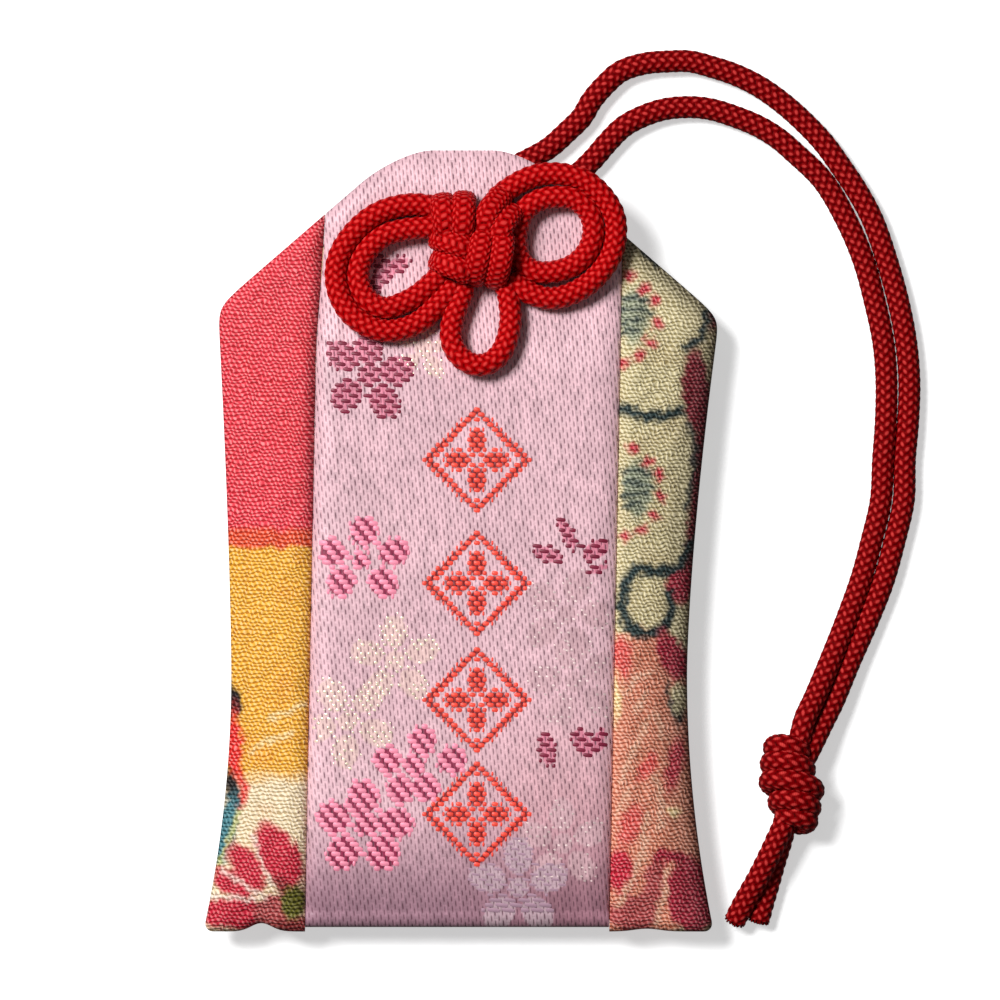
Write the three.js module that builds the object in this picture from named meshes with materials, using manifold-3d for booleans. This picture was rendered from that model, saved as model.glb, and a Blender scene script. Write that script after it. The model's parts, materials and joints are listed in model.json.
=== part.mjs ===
// An omamori charm lying face up: a padded brocade pouch, a tied bow and a knotted carrying loop.
// Millimetres, with +X to the right of the face, +Y to the top of the pouch and +Z out of the face.
import * as THREE from "three";
import { mergeVertices } from "three/addons/utils/BufferGeometryUtils.js";
import Module from "manifold-3d";

const wasm = await Module();
wasm.setup();

// Pouch outline, measured from the centre line
const POUCH_HEIGHT = 70;
const LEFT_EAR = 23.2;
const LEFT_WAIST = 20.7;
const LEFT_SHOULDER = 21.9;
const LEFT_SHOULDER_DROP = 14;
const RIGHT_EAR = 22.5;
const RIGHT_WAIST = 20.1;
const RIGHT_SHOULDER = 23;
const RIGHT_SHOULDER_DROP = 15;
const WAIST_RISE = 23;
const TOP_EDGE_WIDTH = 11.4;
const TOP_CORNER_RADIUS = 3;
const EAR_RADIUS = 0.9;

// Brocade strip, which leans a little across the face
const STRIP_WIDTH = 27.2;
const STRIP_OFFSET = 0.35;
const STRIP_LEAN = 0.0276;
const SEAM_THREAD_DIAMETER = 0.3;
const MOUTH_DEPTH = 8;

// Layers of the pouch
const CLOTH_THICKNESS = 0.5;
const CARD_THICKNESS = 0.8;
const WADDING_THICKNESS = 1.3;
const PAPER_THICKNESS = 0.3;
const SLIP_THICKNESS = 0.8;
const FIT_GAP = 0.3;

// How far from the edge the cloth rounds over, the front crowns and the back settles flat
const EDGE_REACH = 1.6;
const CROWN_REACH = 9;
const BELLY_REACH = 5;
const BELLY_FADE = 7;
const WADDING_INSET = 5.2;
const WADDING_TAPER = 1.5;
const PACKET_CLEARANCE = 1.5;

// Cord and bow, placed from the centre of the bow's knot
const CORD_DIAMETER = 2.05;
const KNOT_OFFSET = 0.8;
const KNOT_DROP = 7.8;
const KNOT_TURN = THREE.MathUtils.degToRad(-10);
const HOLE_SPACING = 3.1;
const CROWN_START_DROP = 2;
const CROWN_FULL_DROP = 13;
const BACK_LIFT_DROP = 7.2;
const STRAP_OFFSET = 1.4;
const STRAP_CORD_SPACING = 1.9;
const STRAP_REACH = 3;
const STRAP_CREST = 3.3;
const KNOT_CORE_WIDTH = 5.2;
const KNOT_CORE_HEIGHT = 2.4;

// End knot, whose wraps go round both strands
const END_KNOT_X = 28.8;
const END_KNOT_Y = -48.6;
const END_KNOT_HEADING = THREE.MathUtils.degToRad(-115.5);
const END_WRAP_RADIUS = 1.75;
const END_WRAP_TURN = THREE.MathUtils.degToRad(-32);

// Worked out from the sizes above
const CORD_RADIUS = CORD_DIAMETER / 2;
const TOP_Y = POUCH_HEIGHT / 2;
const BOTTOM_Y = -TOP_Y;
const WAIST_Y = BOTTOM_Y + WAIST_RISE;
const LEFT = { ear: LEFT_EAR, waist: LEFT_WAIST, shoulder: LEFT_SHOULDER, shoulderY: TOP_Y - LEFT_SHOULDER_DROP };
const RIGHT = {
  ear: RIGHT_EAR, waist: RIGHT_WAIST, shoulder: RIGHT_SHOULDER, shoulderY: TOP_Y - RIGHT_SHOULDER_DROP,
};
const KNOT_X = KNOT_OFFSET;
const KNOT_Y = TOP_Y - KNOT_DROP;
const PACKET_THICKNESS = SLIP_THICKNESS + 2 * FIT_GAP + 2 * PAPER_THICKNESS;
const BACK_LIFT = CORD_DIAMETER + FIT_GAP;
const CARD_BASE = Math.max(BACK_LIFT, PACKET_THICKNESS + FIT_GAP) + CLOTH_THICKNESS + FIT_GAP;
const CARD_TOP = CARD_BASE + CARD_THICKNESS;
const EDGE_MID = (CARD_BASE + CARD_TOP) / 2;
const EDGE_HALF = CARD_THICKNESS / 2 + FIT_GAP + CLOTH_THICKNESS;
const BELLY_DEPTH = EDGE_MID - EDGE_HALF;
const BELLY_TOP = KNOT_Y - BACK_LIFT_DROP;
const CROWN_HEIGHT = WADDING_THICKNESS + FIT_GAP;
const SEAM_GAP = SEAM_THREAD_DIAMETER + 2 * FIT_GAP;
const HOLE_RADIUS = CORD_RADIUS + FIT_GAP;
const POUCH_TOP_Z = EDGE_MID + EDGE_HALF + CROWN_HEIGHT;
const MARGIN = 5;

// Solids for joining and cutting
function toSolid(geometry) {
  const bare = new THREE.BufferGeometry();
  bare.setAttribute("position", geometry.getAttribute("position").clone());
  bare.setIndex(geometry.getIndex());
  const merged = mergeVertices(bare, 1e-4);
  return new wasm.Manifold(new wasm.Mesh({
    numProp: 3,
    vertProperties: new Float32Array(merged.getAttribute("position").array),
    triVerts: new Uint32Array(merged.getIndex().array),
  }));
}

function toGeometry(solid) {
  const mesh = solid.getMesh();
  const geometry = new THREE.BufferGeometry();
  geometry.setAttribute("position", new THREE.BufferAttribute(new Float32Array(mesh.vertProperties), 3));
  geometry.setIndex(new THREE.BufferAttribute(new Uint32Array(mesh.triVerts), 1));
  geometry.computeVertexNormals();
  return geometry;
}

function joined(geometries) {
  const solids = geometries.map(toSolid);
  return toGeometry(solids.reduce((whole, solid) => whole.add(solid)));
}

function box(low, high) {
  const size = high.clone().sub(low);
  const centre = high.clone().add(low).multiplyScalar(0.5);
  return new THREE.BoxGeometry(size.x, size.y, size.z).translate(centre.x, centre.y, centre.z);
}

function prism(outline, low, high, holes = []) {
  const shape = new THREE.Shape(outline);
  shape.holes.push(...holes);
  const depth = high - low;
  return new THREE.ExtrudeGeometry(shape, { depth, bevelEnabled: false, curveSegments: 8 }).translate(0, 0, low);
}

function tube(points, diameter, steps, sides = 8) {
  const corners = [];
  for (let side = 0; side < sides; side++) {
    const angle = (2 * Math.PI * (side + 0.5)) / sides;
    corners.push(new THREE.Vector2(Math.cos(angle), Math.sin(angle)).multiplyScalar(diameter / 2));
  }
  const extrudePath = new THREE.CatmullRomCurve3(points, false, "centripetal");
  return new THREE.ExtrudeGeometry(new THREE.Shape(corners), { steps, extrudePath, bevelEnabled: false });
}

// Outline: half the width on one side, flaring to the ear, drawn in at the waist and sloping at the shoulder
function halfWidth(side, y) {
  const fromBottom = Math.max(0, BOTTOM_Y + EAR_RADIUS - y);
  const earRounding = EAR_RADIUS - Math.sqrt(Math.max(0, EAR_RADIUS ** 2 - fromBottom ** 2));
  if (y < WAIST_Y) {
    return side.waist + (side.ear - side.waist) * ((WAIST_Y - y) / WAIST_RISE) ** 2 - earRounding;
  }
  if (y < side.shoulderY) {
    return side.waist + (side.shoulder - side.waist) * ((y - WAIST_Y) / (side.shoulderY - WAIST_Y)) ** 1.5;
  }
  const share = (y - side.shoulderY) / (TOP_Y - side.shoulderY);
  const intoCorner = Math.max(0, y - TOP_Y + TOP_CORNER_RADIUS);
  const cornerRounding = TOP_CORNER_RADIUS - Math.sqrt(Math.max(0, TOP_CORNER_RADIUS ** 2 - intoCorner ** 2));
  return THREE.MathUtils.lerp(side.shoulder, TOP_EDGE_WIDTH / 2, share) - cornerRounding;
}

// Length of outline for each millimetre of height, limited where the corners round over
function outlineStretch(side, y) {
  const low = Math.max(BOTTOM_Y, y - 0.1);
  const high = Math.min(TOP_Y, y + 0.1);
  const slope = (halfWidth(side, high) - halfWidth(side, low)) / (high - low);
  return Math.hypot(1, Math.min(1.2, Math.abs(slope)));
}

function insetWidth(side, y, inset) {
  return halfWidth(side, y) - inset * outlineStretch(side, y);
}

// Distance from a point to the nearest edge, blended smoothly where two edges are about as near
function edgeDistance(x, y, inset) {
  const distances = [
    (halfWidth(RIGHT, y) - x) / outlineStretch(RIGHT, y) - inset,
    (halfWidth(LEFT, y) + x) / outlineStretch(LEFT, y) - inset,
    TOP_Y - y - inset,
    y - BOTTOM_Y - inset,
  ];
  if (Math.min(...distances) < 1e-6) {
    return 0;
  }
  return distances.reduce((sum, distance) => sum + distance ** -4, 0) ** -0.25;
}

function rounded(share) {
  return Math.sqrt(1 - (1 - Math.min(1, share)) ** 2);
}

// Share of the full crown at a height: none at the knot, where the cord ties the pouch flat
function crownShare(y) {
  return 1 - THREE.MathUtils.smoothstep(y, KNOT_Y - CROWN_FULL_DROP, KNOT_Y - CROWN_START_DROP);
}

// Front and back of the cushion, inset from the outside of the cloth
function frontHeight(x, y, inset) {
  const distance = edgeDistance(x, y, inset);
  const reach = Math.min(1, Math.max(0, distance - EDGE_REACH) / CROWN_REACH);
  const crown = CROWN_HEIGHT * crownShare(y) * (1 - (1 - reach) ** 2);
  return EDGE_MID + (EDGE_HALF - inset) * rounded(distance / EDGE_REACH) + crown;
}

function backHeight(x, y, inset) {
  const distance = edgeDistance(x, y, inset);
  const settled = THREE.MathUtils.smoothstep(distance, EDGE_REACH, EDGE_REACH + BELLY_REACH);
  const tied = THREE.MathUtils.smoothstep(y, BELLY_TOP - BELLY_FADE, BELLY_TOP);
  return EDGE_MID - (EDGE_HALF - inset) * rounded(distance / EDGE_REACH) - BELLY_DEPTH * settled * (1 - tied);
}

// Height of the face away from the pouch's edges, on which the bow lies
function faceHeight(y) {
  return EDGE_MID + EDGE_HALF + CROWN_HEIGHT * crownShare(y);
}

// Closed cushion on a grid of points, whose front and back share the points round the edge
const HALF_COLUMNS = [0, 0.008, 0.025, 0.055, 0.1, 0.17, 0.27, 0.38];
const COLUMN_SHARES = [...HALF_COLUMNS, 0.5, ...HALF_COLUMNS.map((share) => 1 - share).reverse()];
const ROW_SHARES = [
  0, 0.005, 0.015, 0.035, 0.065, 0.11, 0.17, 0.24, 0.31, 0.38, 0.45, 0.52, 0.59, 0.66, 0.72, 0.765, 0.8, 0.84,
  0.885, 0.925, 0.96, 0.982, 0.994, 1,
];

function cushion(inset, lowY, highY, front, back) {
  const positions = [];
  const frontIndex = [];
  const backIndex = [];
  const lastRow = ROW_SHARES.length - 1;
  const lastColumn = COLUMN_SHARES.length - 1;
  ROW_SHARES.forEach((rowShare, row) => {
    const y = THREE.MathUtils.lerp(lowY, highY, rowShare);
    const left = -insetWidth(LEFT, y, inset);
    const right = insetWidth(RIGHT, y, inset);
    frontIndex.push([]);
    backIndex.push([]);
    COLUMN_SHARES.forEach((columnShare, column) => {
      const x = THREE.MathUtils.lerp(left, right, columnShare);
      const rim = row === 0 || row === lastRow || column === 0 || column === lastColumn;
      frontIndex[row].push(positions.length / 3);
      positions.push(x, y, front(x, y, rim));
      backIndex[row].push(rim ? frontIndex[row][column] : positions.length / 3);
      if (!rim) {
        positions.push(x, y, back(x, y));
      }
    });
  });
  const triangles = [];
  for (let row = 0; row < lastRow; row++) {
    for (let column = 0; column < lastColumn; column++) {
      const rising = row < lastRow / 2 === column < lastColumn / 2;
      triangles.push(...cell(frontIndex, row, column, rising));
      triangles.push(...cell(backIndex, row, column, rising).reverse());
    }
  }
  const geometry = new THREE.BufferGeometry();
  geometry.setAttribute("position", new THREE.BufferAttribute(new Float32Array(positions), 3));
  geometry.setIndex(triangles);
  return geometry;
}

// Two triangles of a grid cell, with the diagonal running into the grid's corners
function cell(index, row, column, rising) {
  const a = index[row][column];
  const b = index[row][column + 1];
  const c = index[row + 1][column + 1];
  const d = index[row + 1][column];
  return rising ? [a, b, c, a, c, d] : [a, b, d, b, c, d];
}

function pouchCushion(inset) {
  return cushion(
    inset,
    BOTTOM_Y + inset,
    TOP_Y - inset,
    (x, y, rim) => (rim ? EDGE_MID : frontHeight(x, y, inset)),
    (x, y) => backHeight(x, y, inset),
  );
}

// Cloth: a shell cut along the two seams
function seamX(sign, y, offset) {
  return STRIP_OFFSET + STRIP_LEAN * y + sign * (STRIP_WIDTH / 2 + offset);
}

function seamEdge(sign, offset) {
  const low = BOTTOM_Y - MARGIN;
  const high = TOP_Y + MARGIN;
  return [new THREE.Vector2(seamX(sign, low, offset), low), new THREE.Vector2(seamX(sign, high, offset), high)];
}

function holeCentre(sign) {
  return new THREE.Vector2(KNOT_X + (sign * HOLE_SPACING) / 2, KNOT_Y);
}

function cordHole(sign) {
  const centre = holeCentre(sign);
  const height = POUCH_TOP_Z + 2 * MARGIN;
  return new THREE.CylinderGeometry(HOLE_RADIUS, HOLE_RADIUS, height, 16)
    .rotateX(Math.PI / 2)
    .translate(centre.x, centre.y, POUCH_TOP_Z / 2);
}

function clothShell() {
  return toSolid(pouchCushion(0)).subtract(toSolid(pouchCushion(CLOTH_THICKNESS)));
}

function brocadeStrip() {
  const [leftLow, leftHigh] = seamEdge(-1, -SEAM_GAP / 2);
  const [rightLow, rightHigh] = seamEdge(1, -SEAM_GAP / 2);
  const band = prism([leftLow, rightLow, rightHigh, leftHigh], -MARGIN, POUCH_TOP_Z + MARGIN);
  const mouth = box(
    new THREE.Vector3(-STRIP_WIDTH, TOP_Y - MOUTH_DEPTH, EDGE_MID - FIT_GAP / 2),
    new THREE.Vector3(STRIP_WIDTH, TOP_Y + MARGIN, EDGE_MID + FIT_GAP / 2),
  );
  const strip = clothShell().intersect(toSolid(band)).subtract(toSolid(mouth));
  return toGeometry(strip.subtract(toSolid(cordHole(-1))).subtract(toSolid(cordHole(1))));
}

function sidePanel(sign) {
  const [low, high] = seamEdge(sign, SEAM_GAP / 2);
  const far = sign * (STRIP_WIDTH + LEFT_EAR + RIGHT_EAR);
  const region = prism(
    [low, high, new THREE.Vector2(far, high.y), new THREE.Vector2(far, low.y)],
    -MARGIN,
    POUCH_TOP_Z + MARGIN,
  );
  return toGeometry(clothShell().intersect(toSolid(region)));
}

// Thread in the seam, down the front, round the bottom fold and up the back
function seamThread(sign) {
  const depth = CLOTH_THICKNESS / 2;
  const side = sign < 0 ? LEFT : RIGHT;
  const top = side.shoulderY + 0.4 * (TOP_Y - side.shoulderY);
  const low = BOTTOM_Y + EDGE_REACH;
  const points = [];
  const stations = 14;
  for (let i = 0; i <= stations; i++) {
    const y = THREE.MathUtils.lerp(top, low, i / stations);
    const x = seamX(sign, y, 0);
    points.push(new THREE.Vector3(x, y, frontHeight(x, y, 0) - depth));
  }
  const turn = BOTTOM_Y + depth;
  points.push(new THREE.Vector3(seamX(sign, turn, 0), turn, EDGE_MID));
  for (let i = stations; i >= 0; i--) {
    const y = THREE.MathUtils.lerp(top, low, i / stations);
    const x = seamX(sign, y, 0);
    points.push(new THREE.Vector3(x, y, backHeight(x, y, 0) + depth));
  }
  return tube(points, SEAM_THREAD_DIAMETER, 46, 6);
}

// Inside the pouch: card, wadding and the wrapped slip
function coreCard() {
  const inset = CLOTH_THICKNESS + EDGE_REACH;
  const edge = (side) => [
    BOTTOM_Y + inset,
    (BOTTOM_Y + WAIST_Y) / 2,
    WAIST_Y,
    (WAIST_Y + side.shoulderY) / 2,
    side.shoulderY - inset / 2,
    TOP_Y - inset,
  ].map((y) => new THREE.Vector2(insetWidth(side, y, inset), y));
  const right = edge(RIGHT);
  const left = edge(LEFT).map((point) => new THREE.Vector2(-point.x, point.y)).reverse();
  const holes = [-1, 1].map((sign) => {
    const centre = holeCentre(sign);
    return new THREE.Path().absarc(centre.x, centre.y, HOLE_RADIUS, 0, 2 * Math.PI, true);
  });
  return prism([...right, ...left], CARD_BASE, CARD_TOP, holes);
}

function waddingSheet() {
  const base = CARD_TOP + FIT_GAP;
  const top = KNOT_Y - BACK_LIFT_DROP;
  const low = BOTTOM_Y + WADDING_INSET;
  const ceiling = (x, y) => frontHeight(x, y, CLOTH_THICKNESS) - FIT_GAP;
  const front = (x, y, rim) => {
    const inward = Math.min(edgeDistance(x, y, WADDING_INSET), top - y) / WADDING_TAPER;
    return rim ? base : base + (ceiling(x, y) - base) * rounded(inward);
  };
  return cushion(WADDING_INSET, low, top, front, () => base);
}

function packetBounds(inset) {
  const half = Math.min(LEFT_WAIST, RIGHT_WAIST) - EDGE_REACH - BELLY_REACH - PACKET_CLEARANCE;
  const base = CLOTH_THICKNESS + FIT_GAP;
  const low = BOTTOM_Y + EDGE_REACH + BELLY_REACH + PACKET_CLEARANCE;
  const high = BELLY_TOP - BELLY_FADE - PACKET_CLEARANCE;
  return [
    new THREE.Vector3(-half + inset, low, base + inset),
    new THREE.Vector3(half - inset, high, base + PACKET_THICKNESS - inset),
  ];
}

function paperWrapper() {
  const [low, high] = packetBounds(PAPER_THICKNESS);
  const inside = box(low.setY(low.y - MARGIN), high.setY(high.y + MARGIN));
  return toGeometry(toSolid(box(...packetBounds(0))).subtract(toSolid(inside)));
}

function talismanSlip() {
  const [low, high] = packetBounds(PAPER_THICKNESS + FIT_GAP);
  return box(low, high);
}

// Cord through the pouch, from the strand at the back to the bow at the front
function cordLead(sign) {
  const centre = holeCentre(sign);
  const low = BELLY_DEPTH;
  const high = faceHeight(KNOT_Y);
  return new THREE.CylinderGeometry(CORD_RADIUS, CORD_RADIUS, high - low, 12)
    .rotateX(Math.PI / 2)
    .translate(centre.x, centre.y, (low + high) / 2);
}

// Line of a strap as shares of its reach and its crest: up from under its neighbour, over and down
const STRAP_LINE = [[-0.17, 0.52], [0.13, 0.82], [0.5, 1], [0.83, 0.82], [1, 0.39]];

// Bow knot: four doubled straps, each turned a quarter from the last and tucked under it, on a flat core
function bowKnot() {
  const base = faceHeight(KNOT_Y) + FIT_GAP;
  const line = STRAP_LINE.map(([along, height]) => [along * STRAP_REACH, height * STRAP_CREST]);
  const pieces = [];
  for (let strap = 0; strap < 4; strap++) {
    for (const sign of [-1, 1]) {
      const across = -STRAP_OFFSET + (sign * STRAP_CORD_SPACING) / 2;
      const points = line.map(([along, height]) => new THREE.Vector3(across, along, height));
      pieces.push(tube(points, CORD_DIAMETER, 6).rotateZ((strap * Math.PI) / 2));
    }
  }
  const half = KNOT_CORE_WIDTH / 2;
  pieces.push(box(new THREE.Vector3(-half, -half, 0), new THREE.Vector3(half, half, KNOT_CORE_HEIGHT)));
  return joined(pieces).rotateZ(KNOT_TURN).translate(KNOT_X, KNOT_Y, base);
}

// Loops of the bow, as points from the knot's centre, lying on the face
const BOW_LEFT_OUTER = [
  [-3.7, 3.2], [-5.7, 3.2], [-7.7, 2.8], [-9.8, 1.6], [-11.3, -0.3], [-11.9, -2.6], [-11.7, -4.8], [-10.6, -6.7],
  [-8.9, -8], [-6.9, -8.4], [-5.1, -7.7], [-3.7, -6.7],
];
const BOW_LEFT_INNER = [
  [-4.6, 0.8], [-5.7, 0.5], [-6.9, -0.1], [-8.1, -1.1], [-8.9, -2.3], [-9.2, -3.6], [-8.7, -4.8], [-7.7, -5.5],
  [-6.4, -5.5], [-5.2, -4.9], [-4.1, -4.1],
];
const BOW_RIGHT_OUTER = [
  [4, 4.2], [5.6, 5.2], [7.6, 5.5], [9.7, 5], [11.6, 3.5], [12.7, 1.7], [12.8, -0.3], [12.1, -2.3], [10.7, -3.9],
  [8.9, -5], [7, -5.4], [5.3, -5.1],
];
const BOW_RIGHT_INNER = [
  [5.5, 2.6], [6.7, 2.9], [8, 2.8], [9.2, 2.1], [9.9, 1.1], [10.1, -0.2], [9.6, -1.4], [8.5, -2.3], [7, -2.9],
  [4.4, -2.8],
];
const BOW_BOTTOM = [
  [-0.7, -5.8], [-1.5, -7.6], [-1.7, -9.3], [-1.1, -10.7], [0.1, -11.5], [1.7, -11.3], [2.8, -10.2], [3.4, -8.5],
  [3.5, -6.9],
];

function loopRoute(points) {
  return points.map(([x, y]) => {
    const height = faceHeight(KNOT_Y + y) + FIT_GAP + CORD_RADIUS;
    return new THREE.Vector3(KNOT_X + x, KNOT_Y + y, height);
  });
}

// Strands of the carrying loop, as points from the knot's centre, lying on the table
const STRAND_OUTER = [
  [-1.6, 0], [-0.9, 1.8], [0.7, 4], [3.5, 6.1], [6.9, 8], [8.6, 9.5], [9.9, 10.8], [10.8, 12.3], [12, 13.7],
  [13.4, 14.9], [15.5, 15.6], [17.8, 15.8], [19.6, 15.8], [21.6, 15.3], [23.7, 14.6], [25.9, 13.5], [28, 12],
  [29.8, 10.4], [31.6, 8.5], [33.2, 6.3], [34.6, 4.2], [36, 1.6], [37.3, -2.1], [38.3, -5.7], [39, -9.3],
  [39.3, -12.8], [39.2, -16.4], [38.9, -20], [38.8, -23.6], [38, -27.2], [37, -30.8], [35.6, -34.4], [34, -38],
  [32.5, -41.6], [31.6, -43.4],
];
const STRAND_INNER = [
  [1.5, 0], [3.8, 0.9], [6.3, 2.7], [8.6, 4.8], [10.9, 7], [12.1, 8.4], [13.6, 9.9], [15.2, 10.8], [17.3, 11.5],
  [19.6, 11.7], [21.5, 11.5], [23.5, 10.9], [25.7, 10], [27.5, 8.9], [28.9, 7.7], [31.3, 5], [33.5, 1.4],
  [34.9, -2.2], [35.8, -5.8], [36.5, -9.3], [36.7, -12.8], [36.7, -16.4], [36.5, -20], [36.2, -23.6],
  [35.4, -27.1], [34.5, -30.6], [33.2, -34.2], [31.8, -37.8], [30.2, -41.4], [29.4, -43.2],
];
const TAIL_LEFT = [[26.6, -54.2], [25.8, -55.9], [24.9, -57.6], [24.1, -59.4], [23.4, -61.4]];
const TAIL_RIGHT = [[28.4, -54.4], [28.2, -56.2], [27.7, -58], [27, -59.7], [26.3, -61.4]];

// Rise of a strand over its last points, where it climbs into the end knot, and fall of a tail from it
const STRAND_CLIMB = [0.1, 0.4, 0.8, 1.2];
const TAIL_FALL_LEFT = [1.9, 1.3, 0.7, 0.2, 0];
const TAIL_FALL_RIGHT = [0.3, 0.2, 0.1, 0, 0];

function tableRoute(points, rises) {
  const flat = points.length - rises.length;
  return points.map(([x, y], i) => {
    const height = CORD_RADIUS + (i < flat ? 0 : rises[i - flat]);
    return new THREE.Vector3(KNOT_X + x, KNOT_Y + y, height);
  });
}

// End knot: both strands run through two doubled wraps that cross them on a slant
const END_WRAPS = [[-2, -1.1], [-0.3, -0.6], [1.3, 0.7], [3, 1.2]];
const END_RUNS = [
  [[-5.5, 0.3, -0.5], [-2, 0.2, 0], [2, 0, 0], [5.6, 0.4, 0.2]],
  [[-4.8, -1.7, -0.5], [-2, -0.8, 0], [2, 1, -0.6], [5, 2.1, -1.4]],
];

// A wrap seen from outside: a disc with a half-round rim, because the strands fill the space inside it
function endWrap(along, across) {
  const middle = new THREE.Shape().absarc(0, 0, END_WRAP_RADIUS, 0, 2 * Math.PI);
  const depth = FIT_GAP;
  const bevel = { bevelThickness: CORD_RADIUS - depth / 2, bevelSize: CORD_RADIUS, bevelSegments: 2 };
  return new THREE.ExtrudeGeometry(middle, { depth, curveSegments: 7, ...bevel })
    .translate(0, 0, -depth / 2)
    .rotateY(Math.PI / 2)
    .rotateZ(END_WRAP_TURN)
    .translate(along, across, 0);
}

function endKnot() {
  const pieces = END_WRAPS.map(([along, across]) => endWrap(along, across));
  for (const run of END_RUNS) {
    pieces.push(tube(run.map((point) => new THREE.Vector3(...point)), CORD_DIAMETER, 6));
  }
  return joined(pieces)
    .rotateZ(END_KNOT_HEADING)
    .translate(KNOT_X + END_KNOT_X, KNOT_Y + END_KNOT_Y, END_WRAP_RADIUS + CORD_RADIUS);
}

// Finishes
const BROCADE = new THREE.MeshStandardMaterial({ color: 0xddbdd2, roughness: 0.55, metalness: 0 });
const CREPE_LEFT = new THREE.MeshStandardMaterial({ color: 0xe0a53c, roughness: 0.8, metalness: 0 });
const CREPE_RIGHT = new THREE.MeshStandardMaterial({ color: 0xe6b48a, roughness: 0.8, metalness: 0 });
const THREAD = new THREE.MeshStandardMaterial({ color: 0xb98aa6, roughness: 0.7, metalness: 0 });
const CORD = new THREE.MeshStandardMaterial({ color: 0xc20f1e, roughness: 0.5, metalness: 0 });
const CARD = new THREE.MeshStandardMaterial({ color: 0xc9b48c, roughness: 0.9, metalness: 0 });
const WADDING = new THREE.MeshStandardMaterial({ color: 0xf1efe8, roughness: 1, metalness: 0 });
const PAPER = new THREE.MeshStandardMaterial({ color: 0xf4f0e2, roughness: 0.9, metalness: 0 });
const WOOD = new THREE.MeshStandardMaterial({ color: 0xdcb983, roughness: 0.7, metalness: 0 });

const charm = new THREE.Group();

function place(name, geometry, material) {
  const mesh = new THREE.Mesh(geometry, material);
  mesh.name = name;
  charm.add(mesh);
}

place("brocade_strip", brocadeStrip(), BROCADE);
place("side_panel_left", sidePanel(-1), CREPE_LEFT);
place("side_panel_right", sidePanel(1), CREPE_RIGHT);
place("seam_thread_left", seamThread(-1), THREAD);
place("seam_thread_right", seamThread(1), THREAD);
place("core_card", coreCard(), CARD);
place("wadding_sheet", waddingSheet(), WADDING);
place("paper_wrapper", paperWrapper(), PAPER);
place("talisman_slip", talismanSlip(), WOOD);
place("cord_lead_left", cordLead(-1), CORD);
place("cord_lead_right", cordLead(1), CORD);
place("bow_knot", bowKnot(), CORD);
place("bow_loop_left_outer", tube(loopRoute(BOW_LEFT_OUTER), CORD_DIAMETER, 24), CORD);
place("bow_loop_left_inner", tube(loopRoute(BOW_LEFT_INNER), CORD_DIAMETER, 24), CORD);
place("bow_loop_right_outer", tube(loopRoute(BOW_RIGHT_OUTER), CORD_DIAMETER, 24), CORD);
place("bow_loop_right_inner", tube(loopRoute(BOW_RIGHT_INNER), CORD_DIAMETER, 24), CORD);
place("bow_loop_bottom", tube(loopRoute(BOW_BOTTOM), CORD_DIAMETER, 24), CORD);
place("strand_outer", tube(tableRoute(STRAND_OUTER, STRAND_CLIMB), CORD_DIAMETER, 48), CORD);
place("strand_inner", tube(tableRoute(STRAND_INNER, STRAND_CLIMB), CORD_DIAMETER, 48), CORD);
place("end_knot", endKnot(), CORD);
place("tail_left", tube(tableRoute(TAIL_LEFT, TAIL_FALL_LEFT), CORD_DIAMETER, 5), CORD);
place("tail_right", tube(tableRoute(TAIL_RIGHT, TAIL_FALL_RIGHT), CORD_DIAMETER, 5), CORD);

export default charm;
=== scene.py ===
"""Dresses an omamori charm: brocade and crepe pouch, braided cord, tied bow and the light that it lies in."""
import collections
import json
import math

import bmesh
import bpy
import numpy as np
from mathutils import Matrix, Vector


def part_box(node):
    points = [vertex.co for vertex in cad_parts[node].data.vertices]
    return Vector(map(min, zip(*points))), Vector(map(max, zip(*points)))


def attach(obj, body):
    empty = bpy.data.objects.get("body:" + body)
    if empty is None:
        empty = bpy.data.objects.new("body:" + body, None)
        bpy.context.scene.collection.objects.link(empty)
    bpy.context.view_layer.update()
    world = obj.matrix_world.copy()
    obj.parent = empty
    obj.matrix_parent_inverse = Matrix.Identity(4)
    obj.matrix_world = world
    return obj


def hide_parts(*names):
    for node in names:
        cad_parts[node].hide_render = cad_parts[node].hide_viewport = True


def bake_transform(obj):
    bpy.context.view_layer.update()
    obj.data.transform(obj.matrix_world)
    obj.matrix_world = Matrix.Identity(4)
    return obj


bl_info = {
    "name": "Omamori Charm",
    "version": (1, 0, 0),
    "blender": (4, 5, 0),
    "location": "View3D > Sidebar > Charm",
    "description": "Woven cloth, braided cord and studio light for an omamori charm",
    "category": "Object",
}

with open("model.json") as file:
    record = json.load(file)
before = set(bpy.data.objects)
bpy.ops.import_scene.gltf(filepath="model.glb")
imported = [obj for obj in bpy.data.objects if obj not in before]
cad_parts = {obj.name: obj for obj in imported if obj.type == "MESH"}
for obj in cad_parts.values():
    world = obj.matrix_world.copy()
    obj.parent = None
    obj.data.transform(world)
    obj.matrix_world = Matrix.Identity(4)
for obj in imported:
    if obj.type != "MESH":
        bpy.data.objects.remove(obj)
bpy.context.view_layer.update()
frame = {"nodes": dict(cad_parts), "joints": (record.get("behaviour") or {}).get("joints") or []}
JOINTS = {joint["name"]: joint for joint in frame["joints"]}
MM = 0.001

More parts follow.
